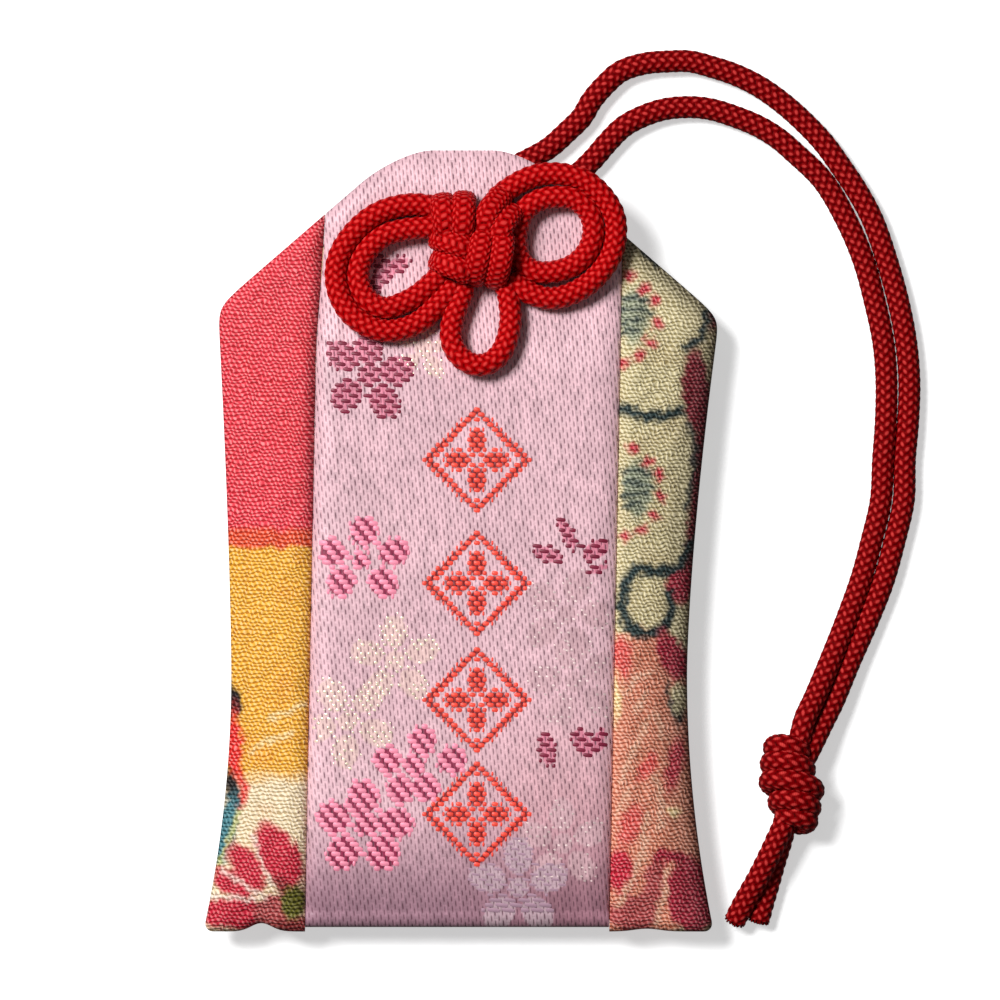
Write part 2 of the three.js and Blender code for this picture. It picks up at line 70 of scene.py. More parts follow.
# Pouch outline in millimetres, as the solids have it
TOP_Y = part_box("brocade_strip")[1].y / MM
BOTTOM_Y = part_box("brocade_strip")[0].y / MM
Outline = collections.namedtuple("Outline", "ear waist shoulder shoulder_y")
OUTLINES = {-1: Outline(23.2, 20.7, 21.9, TOP_Y - 14), 1: Outline(22.5, 20.1, 23.0, TOP_Y - 15)}
WAIST_RISE = 23.0
WAIST_Y = BOTTOM_Y + WAIST_RISE
TOP_EDGE_WIDTH = 11.4
TOP_CORNER_RADIUS = 3.0
EAR_RADIUS = 0.9
SHOULDER_SHARPNESS = 1.6
STRIP_WIDTH = 27.2
STRIP_OFFSET = 0.2
STRIP_LEAN = 0.0195

# Cushion of the pouch
CLOTH_THICKNESS = 0.5
FIT_GAP = 0.3
CARD_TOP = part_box("core_card")[1].z / MM
EDGE_MID = 3.55
EDGE_HALF = 1.2
EDGE_REACH = 1.6
CROWN_REACH = 9.0
CROWN_HEIGHT = 1.6
BELLY_REACH = 5.0
BELLY_DEPTH = EDGE_MID - EDGE_HALF
BELLY_FADE = 7.0
FOLD_RISE = 0.4
FOLD_FADE = 4.0
SEAM_BEND = 0.55
SEAM_BEND_SPAN = (16, 30)
SEAM_FADE = 2.2
SEAM_CLEARANCE = 0.02
RIGHT_SEAM_SHARE = 0.7
TURN_IN = (0.9, 0.5)
TURN_IN_DEPTH = 0.9
TUCK = 0.35
TURN_BACK_DROP = 0.7
TURN_BACK_REACH = 5.5
UNEVEN_HEIGHT = 0.03
UNEVEN_SIZE = 3.1
WADDING_INSET = 5.2
WADDING_TAPER = 1.5

# Bow and cord holes
KNOT_X, KNOT_Y = (value / MM for value in JOINTS["carry_loop_swing"]["pos_m"][:2])
CROWN_FULL_Y = KNOT_Y - 13
CROWN_START_Y = KNOT_Y - 2
BELLY_TOP = KNOT_Y - 7.2
HOLE_SPACING = 3.1

# Camera: the picture is square and this many millimetres wide at the height of the pouch's edge
PICTURE_WIDTH = 89.5
PICTURE_X = 3.356
PICTURE_Y = 3.625
SENSOR_WIDTH = 36

# Light and floor: place of the key light in metres, the floor's greys, its own glow and its grid
KEY_PLACE = (-0.46, 0.36, 0.81)
FLOOR_DARK = (0.9, 0.9, 0.9)
FLOOR_LIGHT = (0.93, 0.93, 0.93)
FLOOR_GLOW = 0.55
FLOOR_POINTS = 5


def linear(red, green, blue):
    """Linear colour from screen values of 0 to 255, by the curve that screens share."""
    share = np.array([red, green, blue]) / 255
    curved = np.where(share <= 0.04045, share / 12.92, ((share + 0.055) / 1.055) ** 2.4)
    return tuple(float(value) for value in curved)


def length_setting(name, description, default):
    """A length in metres that shows in the scene's units."""
    return bpy.props.FloatProperty(
        name=name,
        description=description,
        default=default,
        min=0,
        precision=5,
        unit="LENGTH",
        subtype="DISTANCE",
    )


def colour_setting(name, description, *screen):
    """A colour given as screen values."""
    return bpy.props.FloatVectorProperty(
        name=name, description=description, default=linear(*screen), size=3, min=0, max=1, subtype="COLOR"
    )


class CordSettings(bpy.types.PropertyGroup):
    """Sizes and colours of the braided cord."""

    diameter: length_setting("Diameter", "Width of the cord over its braid", 0.00205)
    stitch: length_setting("Stitch", "Length of one stitch along the cord", 0.00082)
    groove: length_setting("Groove", "Depth of the grooves between stitches", 0.0002)
    ribs: bpy.props.IntProperty(
        name="Ribs", description="Stitches round the cord in each of two sets", default=6, min=2
    )
    # The bow's and the loop's reds are lit and shaded copies of the cord's one red: the loop's darker red is
    # painted shade
    bow_red: colour_setting("Bow", "Red of the bow, which lies in full light", 178, 2, 7)
    loop_shaded_red: colour_setting("Loop", "Red of the carrying loop", 126, 1, 6)


class ClothSettings(bpy.types.PropertyGroup):
    """Sizes and colours of the brocade strip and the crepe panels."""

    warp_width: length_setting("Warp Width", "Width of one satin thread", 0.00034)
    warp_float: length_setting("Warp Float", "Length that a satin thread runs before it is bound", 0.00096)
    crepe_row: length_setting("Crepe Row", "Distance between the crepe's wavy rows", 0.00036)
    crepe_loop: length_setting("Crepe Loop", "Length of one wave along a row", 0.00043)
    seam_depth: length_setting("Seam Depth", "How far the cloth rolls down into a seam", 0.001)
    seam_reach: length_setting("Seam Reach", "How far from a seam the cloth starts to roll", 0.0019)
    brocade: colour_setting("Brocade", "Satin ground of the strip", 233, 189, 198)
    thread: colour_setting("Thread", "Sewing thread in the seams", 96, 40, 56)


class StageSettings(bpy.types.PropertyGroup):
    """Camera, floor and light."""

    camera_height: length_setting("Camera Height", "Height of the camera over the pouch's edge", 0.8)
    floor_size: length_setting("Floor Size", "Side of the square floor", 3.0)
    key_power: bpy.props.FloatProperty(
        name="Key", description="Power of the main light", default=11.6, unit="POWER"
    )
    key_size: length_setting("Key Size", "Side of the main light", 0.32)
    fill: bpy.props.FloatProperty(
        name="Fill", description="Strength of the even light all round", default=0.11
    )


# Arithmetic on arrays
LATTICE_CELLS = 64
EASED_POINTS = 11


def smoothstep(value, low, high):
    """0 below low, 1 above high, and 3t^2 - 2t^3 between them."""
    share = np.clip((value - low) / (high - low), 0, 1)
    return share * share * (3 - 2 * share)


def unit(vectors):
    """Vectors scaled to length 1."""
    return vectors / np.linalg.norm(vectors, axis=-1, keepdims=True)


def turned(x, y, degrees):
    """Coordinates along and across a direction at that angle to the X axis."""
    cos, sin = math.cos(math.radians(degrees)), math.sin(math.radians(degrees))
    return x * cos + y * sin, y * cos - x * sin


def wander(x, y, size, seed):
    """Smooth random height from -1 to 1: seeded values on a lattice of that size, blended by smooth steps."""
    lattice = np.random.default_rng(seed).uniform(-1, 1, (LATTICE_CELLS, LATTICE_CELLS))
    column, row = np.floor(x / size).astype(int), np.floor(y / size).astype(int)
    across, along = smoothstep(x / size - column, 0, 1), smoothstep(y / size - row, 0, 1)
    left, right = column % LATTICE_CELLS, (column + 1) % LATTICE_CELLS
    low, high = row % LATTICE_CELLS, (row + 1) % LATTICE_CELLS
    below = lattice[left, low] * (1 - across) + lattice[right, low] * across
    above = lattice[left, high] * (1 - across) + lattice[right, high] * across
    return below * (1 - along) + above * along


def eased_steps(length, step, reach):
    """Distances from 0 to length: even steps, which close up as 1 - cos within reach of both ends."""
    turn = np.linspace(0, np.pi / 2, EASED_POINTS)
    start = reach * (1 - np.cos(turn))
    middle = np.linspace(reach, length - reach, max(2, round((length - 2 * reach) / step) + 1))
    return np.concatenate([start[:-1], middle, (length - start)[::-1][1:]])


# Surfaces, with the least distance in metres between points and the least length of an edge
MERGE_DISTANCE = 1e-7
LEAST_EDGE = 1e-8


class Surface:
    """Grids of points in millimetres, with faces, a texture place for each face corner, and the values that
    each point carries."""

    def __init__(self, points, places, around=False, closed=False, **values):
        """Points have shape (..., rows, columns, 3). Places have one more column or row where the grid
        closes."""
        index = np.arange(points[..., 0].size).reshape(points.shape[:-1])
        if around:
            index = np.concatenate([index, index[..., :1]], axis=-1)
        if closed:
            index = np.concatenate([index, index[..., :1, :]], axis=-2)
        self.points = points.reshape(-1, 3)
        self.faces = index.reshape(-1)[self.corners(index)]
        self.places = places.reshape(-1, 2)[self.corners(index)]
        self.values = {}
        for name, value in values.items():
            value = np.asarray(value, float)
            depth = value.shape[-1:] if name == "tint" else ()
            self.values[name] = np.broadcast_to(value, points.shape[:-1] + depth).reshape((-1,) + depth)

    @staticmethod
    def corners(index):
        """The four corners of every cell of a grid, as flat positions in it."""
        flat = np.arange(index.size).reshape(index.shape)
        cells = [flat[..., :-1, :-1], flat[..., :-1, 1:], flat[..., 1:, 1:], flat[..., 1:, :-1]]
        return np.stack(cells, axis=-1).reshape(-1, 4)


def make_piece(name, surfaces, finish):
    """One object from several surfaces, with points that coincide merged into one."""
    points = np.concatenate([surface.points for surface in surfaces]) * MM
    starts = np.cumsum([0] + [len(surface.points) for surface in surfaces[:-1]])
    faces = np.concatenate([surface.faces + start for surface, start in zip(surfaces, starts)])
    places = np.concatenate([surface.places for surface in surfaces])
    mesh = bpy.data.meshes.new(name)
    mesh.vertices.add(len(points))
    mesh.vertices.foreach_set("co", points.ravel())
    mesh.loops.add(faces.size)
    mesh.loops.foreach_set("vertex_index", faces.ravel())
    mesh.polygons.add(len(faces))
    mesh.polygons.foreach_set("loop_start", np.arange(0, faces.size, 4))
    mesh.update(calc_edges=True)
    mesh.uv_layers.new(name="weave").data.foreach_set("uv", places.ravel())
    for key in surfaces[0].values:
        value = np.concatenate([surface.values[key] for surface in surfaces])
        if key == "tint":
            value = np.column_stack([value, np.ones(len(value))])
            mesh.attributes.new(key, "FLOAT_COLOR", "POINT").data.foreach_set("color", value.ravel())
        else:
            mesh.attributes.new(key, "FLOAT", "POINT").data.foreach_set("value", value)
    work = bmesh.new()
    work.from_mesh(mesh)
    bmesh.ops.remove_doubles(work, verts=work.verts, dist=MERGE_DISTANCE)
    bmesh.ops.dissolve_degenerate(work, edges=work.edges, dist=LEAST_EDGE)
    work.to_mesh(mesh)
    work.free()
    mesh.shade_smooth()
    mesh.materials.append(finish)
    piece = bpy.data.objects.new(name, mesh)
    bpy.context.scene.collection.objects.link(piece)
    return piece


# Cord lines and braid
LINE_SAMPLES = 60


def smooth_line(points, step):
    """Centripetal Catmull-Rom line through the points, cut into even steps."""
    points = np.asarray(points, float)
    points = np.vstack([2 * points[0] - points[1], points, 2 * points[-1] - points[-2]])
    gap = np.sqrt(np.linalg.norm(np.diff(points, axis=0), axis=1))[:, None]
    before, here, after = gap[:-2], gap[1:-1], gap[2:]
    p0, p1, p2, p3 = points[:-3], points[1:-2], points[2:-1], points[3:]
    leave = ((p1 - p0) / before - (p2 - p0) / (before + here) + (p2 - p1) / here) * here
    arrive = ((p2 - p1) / here - (p3 - p1) / (here + after) + (p3 - p2) / after) * here
    t = np.linspace(0, 1, LINE_SAMPLES, endpoint=False)[None, :, None]
    curve = p1[:, None] * (2 * t**3 - 3 * t**2 + 1) + leave[:, None] * (t**3 - 2 * t**2 + t)
    curve = curve + p2[:, None] * (3 * t**2 - 2 * t**3) + arrive[:, None] * (t**3 - t**2)
    curve = np.vstack([curve.reshape(-1, 3), points[-2]])
    along = arc_length(curve)
    even = np.linspace(0, along[-1], max(3, round(along[-1] / step) + 1))
    return np.stack([np.interp(even, along, curve[:, axis]) for axis in range(3)], axis=1)


def arc_length(line):
    """Distance along a line at each of its points."""
    return np.concatenate([[0], np.cumsum(np.linalg.norm(np.diff(line, axis=0), axis=1))])


# Braid: steps and ends in millimetres, beads in shares of their cell
RING_STEP = 0.095
CORD_SIDES = 72
BEAD_LENGTH = 0.52
BEAD_WIDTH = 0.4
BEAD_LEAN = 0.6
ROUND_END = 0.6
CUT_END = 0.12
Section = collections.namedtuple("Section", "squeeze bend stitch ribs")
ROUND = Section(1, 1, 1, 1)
PRESSED = Section(1.08, 0.7, 0.6, 4 / 3)


def braid(line, reference, cord, end_reach=(ROUND_END, ROUND_END), closed=False, roll=0.0, section=ROUND):
    """Braided cord along a line, covered with beads on two grids, the second set halfway between the first.
    In a cell of its grid a bead's height is the root of 1 - (p / length)^2 - (c / width)^2, where p runs
    along the cord and leans with c, which runs round it. The surface lies lower than the full radius by the
    groove's depth times 1 - height. A section's squeeze over 1 makes the cord wider along the reference and
    thinner across it, and a bend under 1 makes it squarer. Its stitch and ribs are shares of the cord's."""
    if closed:
        ahead = unit(np.roll(line, -1, axis=0) - np.roll(line, 1, axis=0))
        along = np.arange(len(line)) * np.linalg.norm(line[1] - line[0])
        total = along[-1] + along[1]
    else:
        ahead = unit(np.gradient(line, axis=0))
        along = arc_length(line)
        total = along[-1]
    side = unit(np.cross(reference, ahead))
    up = np.cross(ahead, side)
    stitch = total / max(1, round(total / (cord.stitch / MM * section.stitch)))
    ribs = round(cord.ribs * section.ribs)
    angle = np.arange(CORD_SIDES) * (2 * np.pi / CORD_SIDES)
    relief = np.zeros((len(line), CORD_SIDES))
    for shift, lean in ((0, BEAD_LEAN), (0.5, -BEAD_LEAN)):
        across = (angle / (2 * np.pi) * ribs + shift)[None, :] % 1 - 0.5
        phase = (along[:, None] / stitch + shift + lean * across) % 1 - 0.5
        bead = 1 - (phase / BEAD_LENGTH) ** 2 - (across / BEAD_WIDTH) ** 2
        relief = np.maximum(relief, np.sqrt(np.maximum(0, bead)))
    radius = cord.diameter / MM / 2 - cord.groove / MM * (1 - relief)
    if not closed:
        first = np.clip(along / end_reach[0], 0, 1)
        last = np.clip((total - along) / end_reach[1], 0, 1)
        radius = radius * np.sqrt((1 - (1 - first) ** 2) * (1 - (1 - last) ** 2))[:, None]
    directions = np.array([np.cos(angle + roll), np.sin(angle + roll)])
    sideways, upward = np.sign(directions) * np.abs(directions) ** section.bend
    around = sideways[None, :, None] * side[:, None] / section.squeeze
    around = around + upward[None, :, None] * up[:, None] * section.squeeze
    points = line[:, None] + radius[..., None] * around
    columns = np.linspace(0, ribs, CORD_SIDES + 1)
    rows = np.append(along, total) if closed else along
    places = np.stack(np.broadcast_arrays(columns[None, :], rows[:, None] / stitch), axis=-1)
    return Surface(points, places, around=True, closed=closed, relief=relief)


# Pouch: outline, front, back and seams
def half_width(side, y):
    """Half the pouch's width: a parabola from ear to waist, then the lesser of a 1.5 power up to the
    shoulder and a straight slope to the top edge, blended by a soft minimum. Quarter circles round the ear
    and the top corner."""
    shape = OUTLINES[side]
    into_ear = np.clip(BOTTOM_Y + EAR_RADIUS - y, 0, EAR_RADIUS)
    flare = shape.waist + (shape.ear - shape.waist) * ((WAIST_Y - y) / WAIST_RISE) ** 2
    flare = flare - EAR_RADIUS + np.sqrt(EAR_RADIUS**2 - into_ear**2)
    climb = np.maximum(0, (y - WAIST_Y) / (shape.shoulder_y - WAIST_Y))
    upright = shape.waist + (shape.shoulder - shape.waist) * climb**1.5
    share = (y - shape.shoulder_y) / (TOP_Y - shape.shoulder_y)
    into_corner = np.clip(y - TOP_Y + TOP_CORNER_RADIUS, 0, TOP_CORNER_RADIUS)
    slope = shape.shoulder + (TOP_EDGE_WIDTH / 2 - shape.shoulder) * share
    slope = slope - TOP_CORNER_RADIUS + np.sqrt(TOP_CORNER_RADIUS**2 - into_corner**2)
    lesser = -np.logaddexp(-SHOULDER_SHARPNESS * upright, -SHOULDER_SHARPNESS * slope) / SHOULDER_SHARPNESS
    return np.where(y < WAIST_Y, flare, lesser)


# Edges: half the step over which a slope is taken, the steepest slope that counts, the least distance
SLOPE_STEP = 0.1
STEEPEST = 1.2
LEAST_DISTANCE = 1e-4


def edge_distance(x, y, inset=0.0):
    """Distance to the nearest edge: the -1/4 power of the sum of the four edges' distances to the power -4.
    A side's distance is taken square to its slope, up to the steepest one."""
    low, high = np.maximum(BOTTOM_Y, y - SLOPE_STEP), np.minimum(TOP_Y, y + SLOPE_STEP)
    total = 0
    for side in OUTLINES:
        slope = (half_width(side, high) - half_width(side, low)) / (high - low)
        stretch = np.hypot(1, np.minimum(STEEPEST, np.abs(slope)))
        gap = (half_width(side, y) - side * x) / stretch - inset
        total = total + np.maximum(LEAST_DISTANCE, gap) ** -4
    for gap in (TOP_Y - y - inset, y - BOTTOM_Y - inset):
        total = total + np.maximum(LEAST_DISTANCE, gap) ** -4
    distance = total**-0.25
    return np.where(distance < 2 * LEAST_DISTANCE, 0, distance)


def rounded(share):
    """Quarter circle that rises from 0 to 1."""
    return np.sqrt(1 - (1 - np.clip(share, 0, 1)) ** 2)


def crown_share(y):
    """Share of the full crown: none at the knot, where the cord ties the pouch flat."""
    return 1 - smoothstep(y, CROWN_FULL_Y, CROWN_START_Y)


def face_height(y):
    """Height of the face away from the pouch's edges."""
    return EDGE_MID + EDGE_HALF + CROWN_HEIGHT * crown_share(y)


def front_height(x, y, inset=0.0):
    """Front of the cushion: a quarter circle at the edge, then a parabola up to the crown."""
    distance = edge_distance(x, y, inset)
    reach = np.clip((distance - EDGE_REACH) / CROWN_REACH, 0, 1)
    crown = CROWN_HEIGHT * crown_share(y) * (1 - (1 - reach) ** 2)
    return EDGE_MID + (EDGE_HALF - inset) * rounded(distance / EDGE_REACH) + crown


def back_height(x, y):
    """Back of the cushion: a quarter circle at the edge, then a smooth fall to the table below the tie."""
    distance = edge_distance(x, y)
    settled = smoothstep(distance, EDGE_REACH, EDGE_REACH + BELLY_REACH)
    tied = smoothstep(y, BELLY_TOP - BELLY_FADE, BELLY_TOP)
    return EDGE_MID - EDGE_HALF * rounded(distance / EDGE_REACH) - BELLY_DEPTH * settled * (1 - tied)


def seam_x(side, y):
    """Place of a seam across the face, which leans a little. The left one bends inwards by a smooth step at
    the top."""
    bend = SEAM_BEND * smoothstep(y, *SEAM_BEND_SPAN) if side < 0 else 0
    return STRIP_OFFSET + STRIP_LEAN * y + side * STRIP_WIDTH / 2 + bend


def seam_margin(x, y):
    """Distance across the strip to the nearer seam, below 0 outside the strip."""
    return np.minimum(seam_x(1, y) - x, x - seam_x(-1, y))


def seam_drop(x, y, cloth):
    """How far cloth lies below the cushion near a seam: a quarter ellipse that ends upright in the seam. It
    fades by a smooth step towards the outline."""
    nearest = np.minimum(np.abs(x - seam_x(-1, y)), np.abs(x - seam_x(1, y)))
    depth = cloth.seam_depth / MM * np.where(x < 0, 1, RIGHT_SEAM_SHARE)
    depth = depth * smoothstep(edge_distance(x, y), 0, SEAM_FADE)
    return depth * (1 - rounded(nearest / (cloth.seam_reach / MM)))


def near_fold(y):
    """1 at the bottom fold, which falls to 0 above it by a smooth step."""
    return 1 - smoothstep(y, BOTTOM_Y, BOTTOM_Y + FOLD_FADE)


def turned_in(x, y, z, first_tuck, last_tuck):
    """A grid of cloth with two more columns at each end, where it turns in at a seam: tucked sideways, and
    towards the height of the pouch's edge."""
    inward = np.clip(EDGE_MID - z, -TURN_IN_DEPTH, TURN_IN_DEPTH)
    first = [(x[:, :1] + first_tuck * t, y[:, :1], z[:, :1] + inward[:, :1] * t) for t in TURN_IN]
    last = [(x[:, -1:] + last_tuck * t, y[:, -1:], z[:, -1:] + inward[:, -1:] * t) for t in TURN_IN[::-1]]
    return [np.hstack(parts) for parts in zip(*first, (x, y, z), *last)]


# Print: ellipses and lines, painted one over the other
Spot = collections.namedtuple("Spot", "colour x y length width turn")
Line = collections.namedtuple("Line", "colour width points")
PRINT_SOFTNESS = 0.34
PRINT_DRIFT = 0.27
PRINT_DRIFT_SIZE = 0.4
CORAL = linear(244, 64, 82)
ORANGE = linear(240, 84, 36)
GOLD = linear(253, 189, 56)
CREAM = linear(252, 230, 192)
IVORY = linear(226, 212, 166)
CRIMSON = linear(214, 22, 58)
SCARLET = linear(244, 40, 34)
BLACK = linear(24, 18, 20)
TEAL = linear(76, 136, 146)
LIME = linear(226, 222, 130)
OLIVE = linear(112, 108, 20)
PINE = linear(40, 62, 62)
SAGE = linear(170, 176, 148)
BURGUNDY = linear(146, 14, 40)
PEACH = linear(234, 150, 120)
BLUSH = linear(238, 100, 92)
ROSE = linear(214, 52, 72)
RUSSET = linear(196, 84, 84)
BRICK = linear(150, 40, 40)
WHITE = linear(252, 232, 218)
STRAW = linear(255, 226, 168)
SHELL = linear(240, 182, 152)
GARNET = linear(188, 24, 58)

LEFT_MARKS = (
    Line(STRAW, 0.16, ((-17.4, -16.0), (-16.2, -15.4), (-15.2, -15.1), (-14.2, -14.4))),
    Line(STRAW, 0.16, ((-18.9, -18.8), (-17.6, -18.0), (-16.4, -17.7), (-15.2, -17.2))),
    Spot(BLACK, -20.5, -14.4, 1.6, 0.7, 98),
    Spot(SCARLET, -20.4, -18.6, 3.4, 0.75, 92),
    Spot(BLACK, -20.6, -22.4, 2.0, 0.65, 103),
    Line(SCARLET, 0.28, ((-19.8, -20.8), (-19.5, -22.2), (-19.7, -23.5))),
    Spot(TEAL, -21.3, -26.0, 3.3, 1.0, 75),
    Line(LIME, 0.12, ((-19.9, -24.2), (-20.9, -26.8), (-22.0, -29.3))),
    Spot(CRIMSON, -16.4, -28.2, 3.3, 1.75, 119),
    Spot(CRIMSON, -19.3, -29.2, 2.5, 1.2, 124),
    Spot(CRIMSON, -20.6, -30.6, 2.1, 1.1, 146),
    Spot(CRIMSON, -21.9, -33.4, 1.4, 1.3, 70),
    Spot(CRIMSON, -19.5, -33.4, 2.1, 1.6, 165),
    Spot(RUSSET, -17.0, -33.2, 1.7, 1.5, 60),
    Spot(BRICK, -15.0, -34.6, 2.0, 1.0, 0),
    Spot(BRICK, -15.7, -31.3, 1.5, 0.7, 130),
    Line(WHITE, 0.12, ((-18.6, -26.6), (-17.9, -29.0), (-17.0, -30.8))),
    Line(WHITE, 0.12, ((-21.6, -29.3), (-19.8, -30.6), (-17.6, -31.9))),
    Line(WHITE, 0.16, ((-22.6, -31.8), (-20.8, -32.0), (-18.6, -32.1))),
    Spot(OLIVE, -15.0, -32.4, 1.5, 1.2, 80),
)


def stamens(x, y):
    """A printed blossom's centre: a sage patch with pine strokes, inside a bow of rose dots."""
    dots = ((-0.6, 3.6), (0.8, 2.4), (1.7, 1.3), (1.9, -0.7), (1.2, -2.4), (0.2, -3.6), (-1.2, -4.2))
    strokes = ((-1.4, 1.6, 1.0, 1.3), (-1.2, 0.5, 1.3, 0.2), (-1.4, -0.7, 0.6, -0.4), (-1.4, -1.7, 0.1, -1.3))
    marks = [Spot(SAGE, x - 0.2, y, 2.5, 1.3, 88)]
    for x0, y0, x1, y1 in strokes:
        middle = (x + (x0 + x1) / 2, y + (y0 + y1) / 2 + 0.25)
        marks.append(Line(PINE, 0.2, ((x + x0, y + y0), middle, (x + x1, y + y1))))
    for turn, (across, along) in enumerate(dots):
        marks.append(Spot(ROSE, x + across, y + along, 0.55, 0.42, 40 * turn))
    return tuple(marks)


RIGHT_MARKS = (
    Spot(BURGUNDY, 20.9, 13.4, 4.0, 1.25, 93),
    Line(BURGUNDY, 0.95, ((21.7, 10.6), (21.6, 6.5), (21.2, 3.0), (20.9, -0.5), (20.6, -4.0))),
    Spot(BURGUNDY, 22.5, 20.2, 1.4, 0.5, 84),
    Line(PINE, 0.34, ((21.5, 22.6), (21.9, 21.0), (21.7, 19.2), (21.1, 17.8), (19.8, 17.3))),
    Line(PINE, 0.5, ((14.0, 11.9), (16.2, 11.1), (18.1, 11.1), (19.4, 11.5))),
    Line(PINE, 0.3, ((16.2, 25.9), (17.4, 24.9))),
    *stamens(15.5, 20.1),
    *stamens(15.8, 4.6),
    Line(PINE, 0.2, ((20.2, 10.4), (20.8, 8.4), (20.6, 5.6), (20.0, 3.0))),
    Spot(GARNET, 19.4, -3.9, 1.7, 1.2, 95),
    Spot(PEACH, 15.9, -22.5, 14.5, 6.2, 90),
    Line(PINE, 0.5, ((20.6, -0.2), (19.4, -2.2), (17.6, -2.9), (15.6, -2.4), (14.5, -3.8), (14.2, -5.8))),
    Line(PINE, 0.48, ((14.2, -5.8), (14.7, -7.6), (16.0, -8.4), (18.0, -7.9), (18.7, -6.4), (18.5, -4.8))),
    Spot(BLUSH, 14.2, -10.4, 1.9, 0.9, 100),
    Spot(GARNET, 18.8, -10.3, 2.5, 1.15, -62),
    Spot(IVORY, 19.5, -14.2, 1.5, 0.9, 85),
    Line(PINE, 0.16, ((18.3, -12.8), (18.6, -14.6), (19.0, -15.6))),
    Spot(BLACK, 19.5, -15.9, 0.7, 0.45, 70),
    Spot(STRAW, 13.7, -14.0, 2.0, 0.4, 92),
    Line(SHELL, 0.25, ((14.6, -13.6), (15.4, -12.4), (16.6, -11.8))),
    Line(SHELL, 0.25, ((15.6, -15.2), (16.3, -13.8))),
    Line(SHELL, 0.25, ((17.3, -15.4), (17.9, -17.6))),
    Line(SHELL, 0.25, ((13.9, -24.2), (14.7, -22.4))),
    Line(SHELL, 0.25, ((16.6, -24.4), (16.0, -26.2))),
    Line(SHELL, 0.3, ((14.2, -21.5), (15.2, -19.0), (16.6, -16.0))),
    Spot(BLUSH, 16.5, -20.2, 1.3, 0.6, 60),
    Spot(ROSE, 19.0, -20.0, 2.4, 0.7, 78),
    Line(SHELL, 0.3, ((17.2, -21.0), (17.8, -23.5), (17.6, -25.5))),
    Spot(STRAW, 18.9, -24.3, 0.6, 0.4, 0),
    Spot(BLUSH, 15.0, -25.4, 2.0, 0.9, 70),
    Spot(CRIMSON, 14.2, -29.6, 2.0, 1.35, 92),
    Spot(RUSSET, 15.4, -33.3, 2.3, 1.7, 10),
    Spot(RUSSET, 17.2, -30.4, 2.4, 1.0, 80),
    Spot(GARNET, 20.6, -31.8, 3.4, 2.4, 97),
    Line(GARNET, 0.5, ((17.6, -28.2), (18.8, -28.0), (20.2, -28.8))),
    Line(SHELL, 0.3, ((16.3, -26.6), (15.9, -28.6), (14.8, -31.0), (14.0, -32.4))),
    Line(SHELL, 0.25, ((18.3, -29.6), (17.9, -32.0), (17.2, -34.2))),
)


def mark_share(mark, x, y):
    """How far a mark covers each point: inside an ellipse or near a line, with an edge that fades by a
    smooth step."""
    if isinstance(mark, Spot):
        along, across = turned(x - mark.x, y - mark.y, mark.turn)
        outside = (np.hypot(along / mark.length, across / mark.width) - 1) * min(mark.length, mark.width)
    else:
        outside = np.full(x.shape, np.inf)
        for (x0, y0), (x1, y1) in zip(mark.points, mark.points[1:]):
            run = (x - x0) * (x1 - x0) + (y - y0) * (y1 - y0)
            share = np.clip(run / ((x1 - x0) ** 2 + (y1 - y0) ** 2), 0, 1)
            apart = np.hypot(x - x0 - share * (x1 - x0), y - y0 - share * (y1 - y0))
            outside = np.minimum(outside, apart - mark.width)
    return 1 - smoothstep(outside, -PRINT_SOFTNESS, PRINT_SOFTNESS)


def paint(x, y, ground, marks):
    """Colours of a print: the ground, with each mark over it at places that wander a little."""
    drift_x = x + PRINT_DRIFT * wander(x, y, PRINT_DRIFT_SIZE, seed=3)
    drift_y = y + PRINT_DRIFT * wander(x, y, PRINT_DRIFT_SIZE, seed=4)
    colour = ground
    for mark in marks:
        colour = colour + (np.array(mark.colour) - colour) * mark_share(mark, drift_x, drift_y)[..., None]
    return colour


def faded(x, y, size, seed, loss):
    """Shares of red, green and blue that are left in soft random patches of that size."""
    return 1 - np.array(loss) * np.clip(wander(x, y, size, seed), 0, 1)[..., None]


# Left panel: bands with the height of the upper edge, its softness and the colour, and shade at the seam
LEFT_BANDS = ((0.9, 0.5, ORANGE), (-0.65, 0.3, GOLD), (-21.2, 0.9, CREAM))
BAND_WAVER = 0.3
BAND_WAVER_SIZE = 0.9
SEAM_SHADE_REACH = (-0.2, 1.2)
SEAM_SHADE, TOP_SEAM_SHADE = 0.15, 0.35
TOP_SEAM_SPAN = (-4, 8)


def left_print(x, y):
    """Left panel: coral, a thin orange band, gold and cream from the top down, with a flower at the ear. It
    has painted shade into the seam, more so towards the top."""
    level = y + BAND_WAVER * wander(x, y, BAND_WAVER_SIZE, seed=5)
    colour = np.broadcast_to(np.array(CORAL), x.shape + (3,))
    for height, soft, band in LEFT_BANDS:
        share = 1 - smoothstep(level, height - soft, height + soft)
        colour = colour + (np.array(band) - colour) * share[..., None]
    colour = colour * faded(x, y, size=1.6, seed=6, loss=(0.04, 0.14, 0.2))
    # Painted shade where the cloth rolls down into the seam, deeper towards the top
    at_seam = 1 - smoothstep(seam_x(-1, y) - x, *SEAM_SHADE_REACH)[..., None]
    depth = SEAM_SHADE + TOP_SEAM_SHADE * smoothstep(y, *TOP_SEAM_SPAN)[..., None]
    return paint(x, y, colour, LEFT_MARKS) * (1 - depth * at_seam)


# Right panel: how dark it is at the edge, and how far in the shade reaches
EDGE_SHADE = 0.58
EDGE_SHADE_REACH = 4.0


